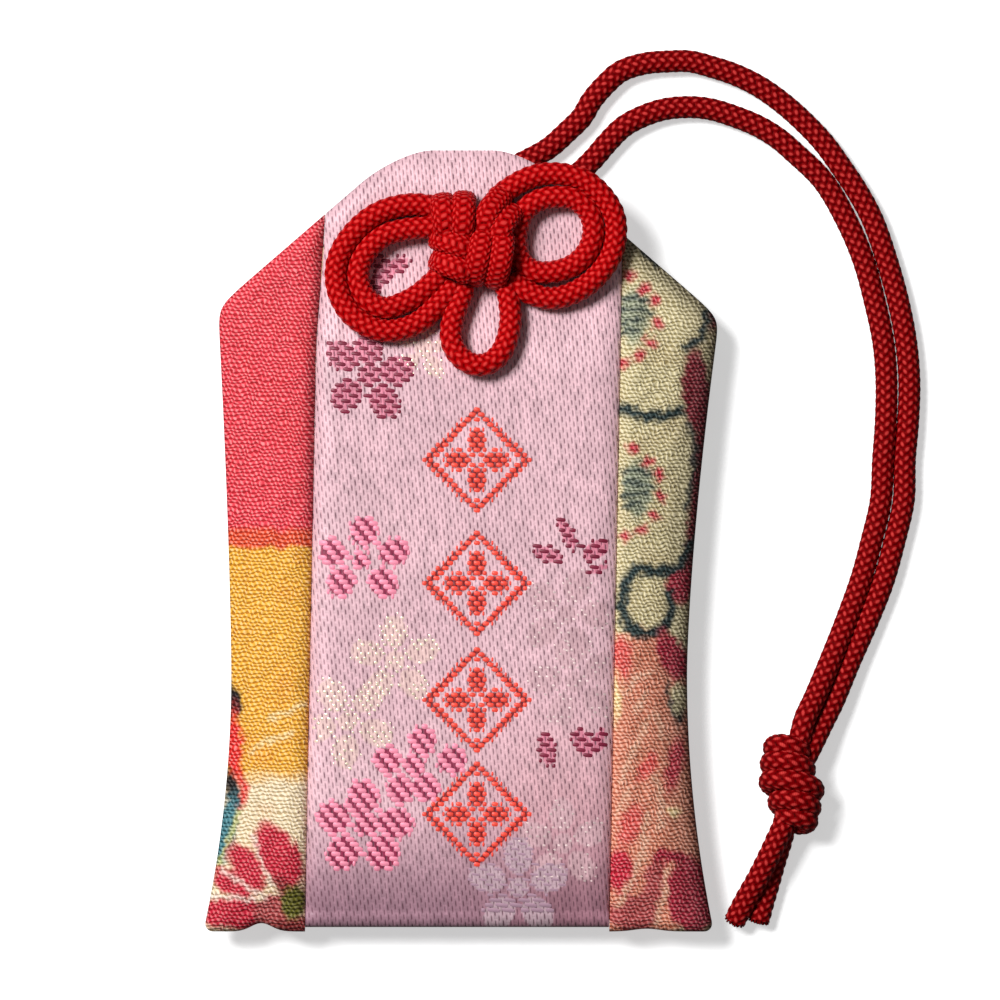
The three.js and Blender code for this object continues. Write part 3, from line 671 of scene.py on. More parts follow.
def right_print(x, y):
    """Right panel: ivory blossoms outlined in pine green, and a peach flower below them. It has painted
    shade towards the edge."""
    colour = np.broadcast_to(np.array(IVORY), x.shape + (3,))
    warmth = faded(x, y, size=1.8, seed=7, loss=(0.08, 0.12, 0.16))
    # Painted shade where the panel rolls away towards its outer edge
    outward = smoothstep(x - half_width(1, y), -EDGE_SHADE_REACH, 0.0)[..., None]
    return paint(x, y, colour, RIGHT_MARKS) * warmth * (1 - EDGE_SHADE * outward)


# Weave: motifs are masks, filled with weft floats on a lattice
Weave = collections.namedtuple("Weave", "length width period pitch shift lift cover vary")
Motif = collections.namedtuple("Motif", "inside centre reach thread under weave glint")
PINK_WEAVE = Weave(0.93, 0.53, 1.2, 0.435, 0.375, 0.12, 1.0, 0.12)
PLUM_WEAVE = Weave(1.08, 0.46, 1.3, 0.47, 0.62, 0.09, 1.0, 0.15)
RED_WEAVE = Weave(0.66, 0.46, 0.8, 0.45, 0.4, 0.12, 1.0, 0.12)
PEARL_WEAVE = Weave(0.42, 0.36, 0.66, 0.4, 0.29, 0.05, 0.62, 0.35)
MIST_WEAVE = Weave(0.4, 0.34, 0.66, 0.4, 0.29, 0.04, 0.4, 0.35)
SHADOW_WEAVE = Weave(1.1, 0.36, 1.3, 0.46, 0.6, 0.05, 1.0, 0.06)
PLUM = linear(122, 26, 54)
MAUVE = linear(224, 132, 154)
PINK = linear(243, 144, 169)
DEEP_PINK = linear(148, 38, 74)
PEARL = linear(246, 226, 200)
CHAMPAGNE = linear(234, 196, 191)
MIST = linear(216, 173, 180)
SILVER = linear(238, 210, 208)
# Ground of the shadow blossom: its woven colour, darkened by painted shade like the band's bottom
ASH = linear(206, 174, 184)
SLATE = linear(176, 140, 158)
VERMILION = linear(246, 78, 62)
DARK_VERMILION = linear(136, 8, 8)
BLOSSOM_HEART = 1.15

# Even blossoms: place, reach and the turn of the first petal, with a petal's sizes in shares of the reach
PETALS = 5
PETAL_LENGTH = 0.66
PETAL_WIDTH = 0.52
PEARLS = ((-6.0, -10.7, 2.6, 20), (-10.2, -16.1, 2.7, 50), (-3.4, 17.2, 1.9, 10))
MISTS = ((9.4, -6.6, 2.7, 0), (10.0, -12.6, 2.7, 30), (9.0, -27.0, 2.6, 20))
SHADOW = (5.0, -31.0, 2.9, 90)

# Drawn blossoms: centre, places of the petals, a petal's length and width, and the heart's radius
PLUM_BLOSSOMS = (
    (
        (-8.3, 14.8),
        ((-10.7, 16.5), (-8.3, 17.2), (-5.9, 15.2), (-10.3, 13.0), (-7.0, 12.4)),
        1.75, 1.45, BLOSSOM_HEART,
    ),
    (
        (-7.0, 24.0),
        ((-8.0, 25.2), (-7.7, 22.9), (-5.8, 24.6)),
        1.3, 0.9, BLOSSOM_HEART,
    ),
)
PINK_BLOSSOMS = (
    (
        (-9.0, -1.75),
        ((-8.8, 0.8), (-11.7, -1.0), (-6.1, -1.0), (-10.8, -3.7), (-7.1, -3.8)),
        1.55, 1.4, 0.95,
    ),
    (
        (-4.3, -20.1),
        ((-6.7, -19.6), (-3.6, -17.9), (-0.9, -19.6), (-5.5, -22.2), (-3.2, -22.0)),
        1.5, 1.4, 1.2,
    ),
    (
        (-8.5, -25.2),
        ((-11.5, -24.7), (-8.9, -22.9), (-6.0, -25.2), (-10.6, -27.8), (-7.1, -27.8)),
        1.75, 1.6, 1.3,
    ),
)

# Loose petals: place, length, width and turn
FAN = (
    (9.35, 0.6, 1.8, 0.75, -61),
    (7.6, -1.2, 1.6, 0.85, -15),
    (12.0, -0.8, 1.6, 1.0, 30),
    (12.2, -2.5, 1.3, 0.5, 20),
)
LOOSE_PETALS = (
    (7.6, -18.6, 1.65, 0.95, 100),
    (10.8, -18.1, 1.6, 1.0, 120),
    (12.3, -17.8, 1.4, 0.9, 60),
)

# Lozenges: a column of places, with the rim and the four leaves in shares of their size
LOZENGE_X = 1.3
LOZENGE_ROWS = (7.2, -3.8, -14.2, -24.4)
LOZENGE_SIZE = 5.0
LOZENGE_REACH = 5.2
RIM_PLACE, RIM_WIDTH = 0.88, 0.12
LEAF_PLACE, LEAF_LENGTH, LEAF_WIDTH = 0.34, 0.27, 0.2

# Floats and the coloured ground under them, with their distances from a seam
FLOAT_POINTS = 5
FLOAT_TILT = 0.12
FLOAT_TAPER = 0.3
FLOAT_SINK = 0.03
FLOAT_SHADES = (-1, 0.6)
FLOAT_CLEARANCE = 0.2125
GROUND_CLEARANCE = 0.85
GROUND_SHRINK = 0.26

# Painted shade of the brocade at the bottom and in its right corner, and soft random patches of tone
SHADED_LOW_BROCADE = linear(178, 134, 150)
LOW_SPAN = (1, 14)
CORNER_SHADE_LOSS = (0.1, 0.22, 0.22)
CORNER_X, CORNER_Y = (-3, 9), (-27, -8)
MOTTLE, MOTTLE_SIZE = 0.05, 4.0


def blossom(centre, places, length, width, heart):
    """A blossom's heart, and petals at those places that point away from it."""
    petals = [(*centre, heart, heart, 0)]
    for x, y in places:
        petals.append((x, y, length, width, math.degrees(math.atan2(y - centre[1], x - centre[0]))))
    return petals


def even_blossom(x, y, reach, start):
    """A blossom of even petals."""
    turns = np.radians(start + np.arange(PETALS) * 360 / PETALS)
    places = np.column_stack([x + reach * np.cos(turns), y + reach * np.sin(turns)])
    return blossom((x, y), places, reach * PETAL_LENGTH, reach * PETAL_WIDTH, BLOSSOM_HEART)


def petals_mask(petals):
    """Mask that is true inside any of the petals, or in their grown or shrunk shapes."""

    def inside(px, py, grow=0.0):
        found = np.zeros(np.shape(px), bool)
        for x, y, length, width, turn in petals:
            along, across = turned(px - x, py - y, turn)
            found |= np.hypot(along / (length + grow), across / (width + grow)) < 1
        return found

    return inside


def lozenge_mask(x, y):
    """Mask of a flower in a diamond: the diamond's rim and four leaves."""

    def inside(px, py, grow=0.0):
        across, along = np.abs(px - x) / LOZENGE_SIZE, np.abs(py - y) / LOZENGE_SIZE
        share = grow / LOZENGE_SIZE
        rim = np.abs(across + along - RIM_PLACE) < RIM_WIDTH + share
        length, width = LEAF_LENGTH + share, LEAF_WIDTH + share
        upright = np.hypot(across / width, (along - LEAF_PLACE) / length) < 1
        level = np.hypot((across - LEAF_PLACE) / length, along / width) < 1
        return rim | upright | level

    return inside


def petal_motif(petals, thread, under, weave, glint=0.0):
    """A motif made of petals."""
    places = np.array([petal[:2] for petal in petals])
    centre = (places.min(axis=0) + places.max(axis=0)) / 2
    reach = np.abs(places - centre).max() + max(petal[2] for petal in petals)
    return Motif(petals_mask(petals), centre, reach, thread, under, weave, glint)


def motifs():
    """The strip's motifs: pearl, mist and shadow blossoms, plum and pink ones over them, and a column of
    lozenges."""
    found = [petal_motif(even_blossom(*place), PEARL, CHAMPAGNE, PEARL_WEAVE, 1.0) for place in PEARLS]
    found += [petal_motif(even_blossom(*place), SILVER, MIST, MIST_WEAVE, 0.6) for place in MISTS]
    found.append(petal_motif(even_blossom(*SHADOW), SLATE, ASH, SHADOW_WEAVE))
    plums = [blossom(*plum) for plum in PLUM_BLOSSOMS] + [FAN, LOOSE_PETALS]
    found += [petal_motif(petals, PLUM, MAUVE, PLUM_WEAVE) for petals in plums]
    found += [petal_motif(blossom(*pink), PINK, DEEP_PINK, PINK_WEAVE) for pink in PINK_BLOSSOMS]
    for y in LOZENGE_ROWS:
        centre = np.array([LOZENGE_X, y])
        mask = lozenge_mask(*centre)
        found.append(Motif(mask, centre, LOZENGE_REACH, VERMILION, DARK_VERMILION, RED_WEAVE, 0.0))
    return found


def strip_height(x, y, cloth):
    """Front of the brocade: the cushion less the seam rolls, turned back over the top edge and gently
    uneven."""
    distance = edge_distance(x, y)
    turned_back = TURN_BACK_DROP * smoothstep(y, TOP_Y - TURN_BACK_REACH, TOP_Y) ** 2
    uneven = UNEVEN_HEIGHT * wander(x, y, UNEVEN_SIZE, seed=11) * rounded(distance / CROWN_REACH)
    height = front_height(x, y) - turned_back * rounded(distance / EDGE_REACH)
    return height - seam_drop(x, y, cloth) + uneven


def strip_colours(x, y, front, cloth, woven):
    """Colours of the brocade: painted shade towards the bottom and in its right corner, a little uneven, with
    the ground of each motif on the front."""
    # Painted shade: the band darkens where it curves under at the bottom and towards its lower right corner
    shade = smoothstep(y - BOTTOM_Y, *LOW_SPAN)[..., None]
    tint = np.array(SHADED_LOW_BROCADE) * (1 - shade) + np.array(cloth.brocade) * shade
    corner = smoothstep(x, *CORNER_X) * (1 - smoothstep(y, *CORNER_Y))
    tint = tint * (1 - np.array(CORNER_SHADE_LOSS) * corner[..., None])
    tint = tint * (1 + MOTTLE * wander(x, y, MOTTLE_SIZE, seed=21))[..., None]
    clear = front & (seam_margin(x, y) > GROUND_CLEARANCE)
    for motif in woven:
        under = clear & motif.inside(x, y, -GROUND_SHRINK)
        tint = np.where(under[..., None], np.array(motif.under), tint)
    return tint


def woven_floats(motif, cloth):
    """Weft floats of a motif: on a slanted lattice of rows, each float is a pillow whose lift over the cloth
    is (1 - s^4)(1 - t^2) along and across it. A float is cut to the thirds of its length that lie inside the
    motif."""
    weave = motif.weave
    row_reach = math.ceil(motif.reach / weave.pitch)
    column_reach = math.ceil(motif.reach / weave.period) + 1
    rows, columns = np.arange(-row_reach, row_reach + 1), np.arange(-column_reach, column_reach + 1)
    row, column = (grid.ravel() for grid in np.meshgrid(rows, columns, indexing="ij"))
    x = motif.centre[0] + column * weave.period - (row * weave.shift) % weave.period
    y = motif.centre[1] + row * weave.pitch
    third = weave.length / 3
    inside = np.stack([motif.inside(x + offset * third, y) for offset in (-1, 0, 1)], axis=1)
    chance = np.random.default_rng(len(x)).uniform(0, 1, len(x))
    clear = (seam_margin(x, y) - weave.length / 2 > FLOAT_CLEARANCE) & (y > BOTTOM_Y + EDGE_REACH)
    kept = inside.any(axis=1) & clear & (chance < weave.cover)
    x, y, inside = x[kept], y[kept], inside[kept]
    low = x + third * (np.argmax(inside, axis=1) - 1.5)
    high = x + third * (1.5 - np.argmax(inside[:, ::-1], axis=1))
    s = np.linspace(-1, 1, FLOAT_POINTS)[None, None, :]
    t = np.linspace(-1, 1, FLOAT_POINTS)[None, :, None]
    half = ((high - low) / 2)[:, None, None]
    px, py = np.broadcast_arrays(
        ((high + low) / 2)[:, None, None] + s * half,
        y[:, None, None] + t * weave.width / 2 * (1 - FLOAT_TAPER * s**4) - FLOAT_TILT * s * half,
    )
    lift = weave.lift * ((1 - s**4) * (1 - t**2)) - FLOAT_SINK
    points = np.stack([px, py, strip_height(px, py, cloth) + lift], axis=-1)
    shade = 1 + weave.vary * np.random.default_rng(len(x)).uniform(*FLOAT_SHADES, len(x))
    tint = np.broadcast_to(np.array(motif.thread) * shade[:, None, None, None], points.shape)
    return Surface(points, np.stack([px, py], axis=-1), tint=tint, raised=1.0, glint=motif.glint)


# Materials
class Wire:
    """An output of a material's node. Arithmetic on values adds Math nodes."""

    def __init__(self, finish, socket):
        self.finish = finish
        self.socket = socket

    def math(self, operation, *values):
        return self.finish.node("ShaderNodeMath", {"operation": operation}, dict(enumerate(values)))

    def __add__(self, other):
        return self.math("ADD", self, other)

    def __sub__(self, other):
        return self.math("SUBTRACT", self, other)

    def __rsub__(self, other):
        return self.math("SUBTRACT", other, self)

    def __mul__(self, other):
        return self.math("MULTIPLY", self, other)

    def __truediv__(self, other):
        return self.math("DIVIDE", self, other)

    __radd__ = __add__
    __rmul__ = __mul__

    def wave(self):
        """0.5 + 0.5 cos of the value in whole turns."""
        return self.math("COSINE", self * (2 * math.pi)) * 0.5 + 0.5

    def floor(self):
        return self.math("FLOOR", self)

    def fraction(self):
        return self.math("FRACT", self)

    def size(self):
        return self.math("ABSOLUTE", self)

    def step(self, low, high):
        """Smooth step from 0 at low to 1 at high."""
        settings = {"interpolation_type": "SMOOTHSTEP"}
        inputs = {"Value": self, "From Min": low, "From Max": high}
        return self.finish.node("ShaderNodeMapRange", settings, inputs)


class Finish:
    """A material that is built node by node."""

    def __init__(self, name):
        self.material = bpy.data.materials.new(name)
        self.material.use_nodes = True
        self.tree = self.material.node_tree
        self.tree.nodes.clear()

    def node(self, kind, settings=None, inputs=None, output=0):
        """A node with its settings set first, then its inputs by name or position. Returns one output."""
        made = self.tree.nodes.new(kind)
        for key, value in (settings or {}).items():
            setattr(made, key, value)
        for key, value in (inputs or {}).items():
            if isinstance(value, Wire):
                self.tree.links.new(value.socket, made.inputs[key])
            else:
                made.inputs[key].default_value = value
        return Wire(self, made.outputs[output])

    def value(self, name):
        return self.node("ShaderNodeAttribute", {"attribute_name": name}, output="Fac")

    def tint(self):
        return self.node("ShaderNodeAttribute", {"attribute_name": "tint"}, output="Color")

    def places(self):
        """The two texture coordinates."""
        both = self.node("ShaderNodeUVMap", {"uv_map": "weave"})
        return [self.node("ShaderNodeSeparateXYZ", inputs={0: both}, output=axis) for axis in (0, 1)]

    def vector(self, x, y, z=0.0):
        return self.node("ShaderNodeCombineXYZ", inputs={0: x, 1: y, 2: z})

    def noise(self, vector, scale, detail=2.0):
        return self.node("ShaderNodeTexNoise", inputs={"Vector": vector, "Scale": scale, "Detail": detail})

    def mix(self, share, low, high, blend="MIX"):
        """Mix of two colours."""
        settings = {"data_type": "RGBA", "blend_type": blend}
        colours = {6: self.colour(low), 7: self.colour(high)}
        return self.node("ShaderNodeMix", settings, {0: share, **colours}, output=2)

    @staticmethod
    def colour(value):
        return value if isinstance(value, Wire) else (*value, 1.0)

    def shade(self, colour, share):
        """A colour times a value."""
        settings = {"operation": "SCALE"}
        return self.node("ShaderNodeVectorMath", settings, {0: colour, "Scale": share})

    def chance(self, column, row):
        """Random value from 0 to 1 for each cell of a grid."""
        cell = self.vector(column, row)
        return self.node("ShaderNodeTexWhiteNoise", {"noise_dimensions": "2D"}, {"Vector": cell})

    def bump(self, height, distance, strength=1.0):
        inputs = {"Height": height, "Distance": distance, "Strength": strength}
        return self.node("ShaderNodeBump", inputs=inputs)

    def done(self, **sockets):
        """The material, with its shader's sockets set: an underscore in a name stands for a space."""
        inputs = {key.replace("_", " "): value for key, value in sockets.items()}
        shader = self.node("ShaderNodeBsdfPrincipled", inputs=inputs)
        surface = self.tree.nodes.new("ShaderNodeOutputMaterial").inputs["Surface"]
        self.tree.links.new(shader.socket, surface)
        return self.material


# Counts, slants and shares of the finishes
YARN_LINES = 7
GROOVE_SHADE = 0.07
HIGHLIGHT_SHARE = 0.6
WARP_SLANT = 0.103
BINDING_CLIMB = 0.485
BINDING_DRIFT = 0.35
CREPE_SLANT = 0.1
LOOP_STAGGER = 0.45
ARCH_DEPTH = 0.24


def cord_finish(name, red):
    """Silky braid: painted shade in the grooves and painted highlights on the beads, with fine yarn lines
    across the cord.
    """
    finish = Finish(name)
    relief = finish.value("relief")
    yarn = (finish.places()[1] * YARN_LINES).wave()
    # Painted shade: the grooves between the beads in deep red
    groove = tuple(GROOVE_SHADE * value for value in red)
    # Painted highlight: the tops of the beads mix towards a light red
    lit = linear(255, 84, 80)
    bead_highlight = tuple((1 - HIGHLIGHT_SHARE) * value + HIGHLIGHT_SHARE * other for value, other in zip(red, lit))
    colour = finish.mix(relief.step(0.15, 0.85), groove, red)
    colour = finish.mix(relief.step(0.82, 1.0) * (0.6 + 0.4 * yarn), colour, bead_highlight)
    return finish.done(
        Base_Color=colour,
        Roughness=0.62 - 0.26 * relief,
        Normal=finish.bump(yarn, 0.00002, 0.4),
        Specular_IOR_Level=0.15,
        Specular_Tint=(1.0, 0.12, 0.1, 1.0),
    )


def brocade_finish(cloth):
    """Satin: upright threads, each bound at steps that climb from thread to thread, with dark dashes between
    them. Floats of the motifs lie over it, and carry their own colour."""
    finish = Finish("brocade_satin")
    u, v = finish.places()
    raised = finish.value("raised")
    glint = finish.value("glint")
    thread = (u + v * WARP_SLANT) / (cloth.warp_width / MM)
    column = thread.floor()
    cross = (thread.fraction() - 0.5).size()
    drift = finish.noise(finish.vector(u, v), 0.9)
    run = v / (cloth.warp_float / MM) + column * BINDING_CLIMB + drift * BINDING_DRIFT
    along = (run.fraction() - 0.5).size()
    ground = 1 - raised
    gap = (1 - cross.step(0.0, 0.3)) * (1 - along.step(0.1, 0.4)) * ground
    bound = along.step(0.36, 0.5) * ground
    one = finish.chance(column, run.floor())
    colour = finish.mix(gap * (0.6 + 0.4 * one), finish.tint(), linear(120, 72, 90))
    colour = finish.shade(colour, 1.15 - 0.28 * one * ground - 0.08 * bound)
    height = (0.35 * cross * ground + 0.65) * (1 - gap)
    return finish.done(
        Base_Color=colour,
        Roughness=0.48 - 0.2 * glint + 0.2 * gap,
        Metallic=0.3 * glint,
        Normal=finish.bump(height, 0.0001, 0.7),
        Sheen_Weight=0.15,
        Sheen_Roughness=0.35,
    )


def crepe_finish(name, cloth):
    """Crepe: wavy rows of small arched loops, with painted highlights on top and painted shade between,
    that shift from row to row.
    """
    finish = Finish(name)
    u, v = finish.places()
    drift = finish.noise(finish.vector(u, v), 0.8, 2.0)
    other = finish.noise(finish.vector(u, v * 1.3, 4.0), 0.8, 2.0)
    wavy = v / (cloth.crepe_row / MM) + u * CREPE_SLANT + (u * 0.8 + drift * 2.0).wave() * 0.3 + other * 1.7
    loop = u / (cloth.crepe_loop / MM) + wavy.floor() * LOOP_STAGGER + drift * 1.7
    arch = wavy.fraction() - 0.5 + (loop.wave() - 0.5) * ARCH_DEPTH
    ridge = (1 - arch * arch * 4).step(0.0, 1.0)
    later = loop + 0.15
    height = ridge * (0.4 + 0.6 * later.wave())
    # Painted shade in the hollows between the loops
    deep_shade = finish.mix(0.75, finish.tint(), finish.tint(), "MULTIPLY")
    red = finish.node("ShaderNodeSeparateColor", inputs={0: finish.tint()})
    # Painted highlight on the tops of the loops, stronger on red
    loop_highlight = finish.mix(0.07 + 0.24 * red, finish.shade(finish.tint(), 1.2), linear(255, 244, 236))
    one = finish.chance(later.floor(), wavy.floor())
    colour = finish.mix(height.step(0.0, 0.6), finish.shade(deep_shade, 0.55), finish.tint())
    colour = finish.mix(height.step(0.4, 0.95) * (0.55 + 0.45 * one), colour, loop_highlight)
    return finish.done(
        Base_Color=colour,
        Roughness=0.74 - 0.1 * height,
        Normal=finish.bump(height, 0.00013, 0.8),
        Specular_IOR_Level=0.3,
    )


def thread_finish(cloth):
    """Twisted sewing thread: painted shade darkens it between its plies."""
    finish = Finish("sewing_thread")
    colour = finish.shade(tuple(cloth.thread), 0.55 + 0.6 * finish.value("relief"))
    return finish.done(Base_Color=colour, Roughness=0.7, Sheen_Weight=0.2)


def object_places(finish):
    """Object coordinates in millimetres."""
    place = finish.node("ShaderNodeTexCoord", output="Object")
    return finish.node("ShaderNodeVectorMath", {"operation": "SCALE"}, {0: place, "Scale": 1 / MM})


def wadding_finish():
    """Soft fibres that lie in every direction."""
    finish = Finish("wadding_fibre")
    place = object_places(finish)
    fibre = finish.noise(place, 2.4, 6.0)
    colour = finish.mix(fibre.step(0.3, 0.75), linear(222, 216, 204), linear(250, 248, 242))
    return finish.done(Base_Color=colour, Roughness=0.95, Normal=finish.bump(fibre, 0.0003), Sheen_Weight=0.4)


def board_finish(name, low, high, stretch, scale, roughness):
    """Card, paper or wood: noise drawn out along the grain, between two screen colours."""
    finish = Finish(name)
    place = object_places(finish)
    drawn = finish.node("ShaderNodeMapping", inputs={"Vector": place, "Scale": stretch})
    grain = finish.noise(drawn, scale, 5.0)
    colour = finish.mix(grain.step(0.3, 0.7), linear(*low), linear(*high))
    return finish.done(Base_Color=colour, Roughness=roughness, Normal=finish.bump(grain, 0.00004))


# Boards inside the pouch: name, two colours, stretch of the grain, its scale and the roughness
BOARDS = {
    "core_card": ("core_board", (182, 160, 122), (206, 188, 150), (1, 1, 1), 3.0, 0.9),
    "paper_wrapper": ("sleeve_paper", (238, 230, 208), (250, 246, 232), (1, 0.3, 1), 2.0, 0.85),
    "talisman_slip": ("slip_cedar", (206, 160, 104), (232, 198, 146), (1, 0.04, 1), 1.6, 0.6),
}


# Routes of the cord, as points in millimetres from the knot's centre
STRAND_OUTER = (
    (-1.6, 0), (-0.9, 1.8), (0.7, 4), (3.5, 6.1), (6.9, 8), (8.6, 9.5), (9.9, 10.8), (10.8, 12.3),
    (12, 13.7), (13.4, 14.9), (15.5, 15.6), (17.8, 15.8), (19.6, 15.8), (21.6, 15.3), (23.7, 14.6),
    (25.9, 13.5), (28, 12), (29.8, 10.4), (31.6, 8.5), (33.2, 6.3), (34.6, 4.2), (36, 1.6),
    (37.3, -2.1), (38.3, -5.7), (39, -9.3), (39.3, -12.8), (39.2, -16.4), (38.9, -20), (38.8, -23.6),
    (38, -27.2), (37, -30.8), (35.6, -34.4), (34, -38), (32.5, -41.6), (31.6, -43.4), (30.4, -45.8),
    (29.15, -48.2),
)
STRAND_INNER = (
    (1.5, 0), (3.8, 0.9), (6.3, 2.7), (8.6, 4.8), (10.9, 7), (12.1, 8.4), (13.6, 9.9), (15.2, 10.8),
    (17.3, 11.5), (19.6, 11.7), (21.5, 11.5), (23.5, 10.9), (25.7, 10), (27.5, 8.9), (28.9, 7.7),
    (31.55, 5.1), (33.7, 1.45), (35.2, -2.1), (36.2, -5.75), (36.95, -9.3), (37.25, -12.8),
    (37.2, -16.4), (36.95, -20), (36.75, -23.6), (35.95, -27.1), (35, -30.6), (33.7, -34.2),
    (32.25, -37.8), (30.7, -41.4), (29.85, -43.2), (29.3, -45.5), (28.8, -48.1),
)
TAIL_LEFT = (
    (28.4, -50), (28.05, -52.3), (27.25, -54.2), (26.45, -55.9), (25.6, -57.6), (24.6, -59.4),
    (23.6, -61.4),
)
TAIL_RIGHT = (
    (29.1, -49.3), (28.4, -51.9), (27.75, -54.4), (27.2, -56.2), (26.7, -58), (26.2, -59.7),
    (25.75, -61.4),
)

# Strands and tails: the braid's turn, and rises over the last points
STRAND_ROLL = 0.4
OUTER_CLIMB = (0, 0.2, 0.5, 0.8, 1.4, 1.75)
INNER_CLIMB = (0.3, 0.9, 1.5, 2, 2.1, 1.75)
LEFT_FALL = (1.75, 2, 1.9, 1.7, 1.35, 0.9, 0.4)
RIGHT_FALL = (1.55, 0.6, 0.1, 0, 0, 0, 0)

# Ears of the bow: the first and last points are tucked under the knot
BOW_EARS = {
    "bow_loop_left_outer": (
        (-2.2, 2.3), (-3.4, 2.6), (-4.8, 2.8), (-6.3, 2.7), (-8.2, 2.1), (-9.8, 1.0), (-11.1, -0.5),
        (-11.9, -2.1), (-12.1, -3.6), (-11.8, -5.2), (-10.9, -6.8), (-9.4, -8), (-7.7, -8.5),
        (-6, -8.3), (-4.5, -7.6), (-3.2, -6.4), (-2, -5.1), (-1.4, -4.1),
    ),
    "bow_loop_left_inner": (
        (-2.4, 0.9), (-3.4, 0.8), (-4.8, 0.7), (-6.2, 0.5), (-7.7, 0.05), (-9.05, -1.0), (-9.85, -2.25),
        (-10.1, -3.5), (-9.8, -4.9), (-9.0, -5.95), (-7.65, -6.45), (-6.1, -6), (-4.8, -5.3),
        (-3.5, -4.2), (-2.5, -3.2),
    ),
    "bow_loop_right_outer": (
        (1.8, 2.9), (2.9, 3.9), (4.7, 5), (6.3, 5.5), (8.2, 5.5), (10, 5), (11.6, 3.7), (12.7, 1.9),
        (12.9, 0.1), (12.4, -1.9), (10.9, -3.9), (9.1, -5.1), (7.1, -5.6), (5.4, -5.2), (4.3, -4.5),
        (3.4, -3.5),
    ),
    "bow_loop_right_inner": (
        (3.9, -0.8), (4.1, 0.7), (4.7, 2.2), (5.9, 3.1), (7.4, 3.45), (9.2, 3.25), (10.5, 2.1),
        (10.9, 0.4), (10.4, -1.3), (9.1, -2.6), (7.4, -3.2), (5.8, -3.2), (4.7, -2.6), (4.1, -1.5),
        (3.9, -0.1),
    ),
    "bow_loop_bottom": (
        (-0.5, -4.2), (-0.9, -5.4), (-1.5, -7), (-1.8, -8.4), (-1.7, -9.6), (-1, -10.8), (0.2, -11.5),
        (1.5, -11.4), (2.6, -10.5), (3.2, -9.2), (3.5, -7.6), (3.4, -6.1), (3.2, -4.9), (2.8, -3.9),
    ),
}
EAR_GAP = 0.2

# Straps of the bow's knot: pairs of cord, each tucked under the next, with heights over the knot's base
STRAPS = (
    ((-2.5, 2.9, 0.2), (-2.55, 2.9, 1.5), (-2.5, 2.2, 2.8), (-2.35, 1.1, 3.0), (-2.2, -0.1, 2.2)),
    ((-0.65, 3.1, 0.2), (-0.65, 3.05, 1.6), (-0.7, 2.3, 3.0), (-0.75, 1.1, 3.2), (-0.9, -0.1, 2.3)),
    ((-2.75, -0.3, 0.2), (-2.8, -0.35, 1.5), (-2.1, -0.55, 2.8), (-1.0, -0.95, 3.0), (0.1, -1.4, 2.2)),
    ((-2.8, -2.2, 0.2), (-2.8, -2.25, 1.4), (-2.1, -2.6, 2.7), (-1.1, -3.0, 2.9), (-0.1, -3.5, 2.1)),
    ((0.95, 0.2, 2.2), (0.85, -0.9, 3.1), (0.6, -2.2, 3.2), (0.3, -3.4, 2.2), (0.2, -3.7, 0.4)),
    ((2.75, 0.1, 2.1), (2.75, -1.1, 3.0), (2.55, -2.4, 3.1), (2.2, -3.7, 2.0), (2.1, -3.95, 0.4)),
    ((2.9, 3.8, 1.1), (2.3, 3.1, 2.0), (1.6, 2.2, 2.7), (1.2, 1.2, 2.7), (1.1, 0.2, 2.1)),
    ((3.9, 2.2, 1.0), (3.3, 1.7, 2.1), (2.8, 0.9, 2.7), (2.45, 0.1, 2.6), (2.3, -0.8, 2.0)),
)
STRAP_STEP = 0.06

# End knot: each wrap has a place along and across the heading, a reach across and a radius upwards
END_KNOT = (28.8, -48.6)
END_HEIGHT = 1.75
END_HEADING = -115.5
END_WRAP_TURN = 12
END_WRAP_LEAN = 0.35
END_WRAPS = (
    (-2.15, -1.6, 1.2, 1.2),
    (-0.8, -0.9, 1.55, 1.6),
    (0.6, 0.15, 2.0, 1.75),
    (2.0, 1.1, 1.45, 1.6),
    (3.1, 1.8, 1.0, 1.1),
)

# Cut yarns of a tail: a spiral of cones, whose profile is shares along them with radii
YARN_COUNT = 36
YARN_SIDES = 6
YARN_SPREAD = 0.8
YARN_SINK = 0.2
YARN_LENGTH = 0.35
YARN_VARY = 0.12
YARN_BEAT = 2.4
YARN_LEAN = 0.35
YARN_PROFILE = ((0, 0.12), (0.5, 0.12), (0.85, 0.1), (1, 0.0))
GOLDEN_ANGLE = 137.5

# Grid of the band: millimetres between points, hems inside the mouth and the lip of its edge
FRONT_STEP = 0.2
BACK_STEP = 1.4
STRIP_STEP = 0.17
SEAM_EASE = 1.0
HEM = (1.6, 1.0, 0.4)
HEM_LIFT = 0.08
LIP_LIFT = 0.15
LIP_DEPTH = (3, 1)
LIP_WIDTH = (5, 7)

# Grid of a panel, its crinkles, and notches in the bottom edge with their place, height and width
PANEL_WIDTH = STRIP_WIDTH / 3
PANEL_STEP = 0.125
PANEL_BACK_STEP = 0.24
TOP_TRIES = 2000
BROAD_CRINKLE, BROAD_SIZE, BROAD_STRETCH = 0.075, 1.3, 1.3
FINE_CRINKLE, FINE_SIZE, FINE_STRETCH = 0.05, 0.62, 1.2
CRINKLE_EDGE, CRINKLE_SEAM = (0.1, 1.6), (0.1, 1.2)
NOTCHES = ((-18.0, 0.75, 1.3), (16.5, 0.25, 1.6))

# Sewing thread: its top is a share of the way up the slope
THREAD_RADIUS = 0.15
THREAD_SIDES = 10
THREAD_STEP = 0.1
THREAD_DEPTH = 1.1
THREAD_TAPER = 0.2
THREAD_TOP = 0.4
THREAD_PLACES = 15
PLY_TURN = 0.9
PLY_GROOVE = 0.25

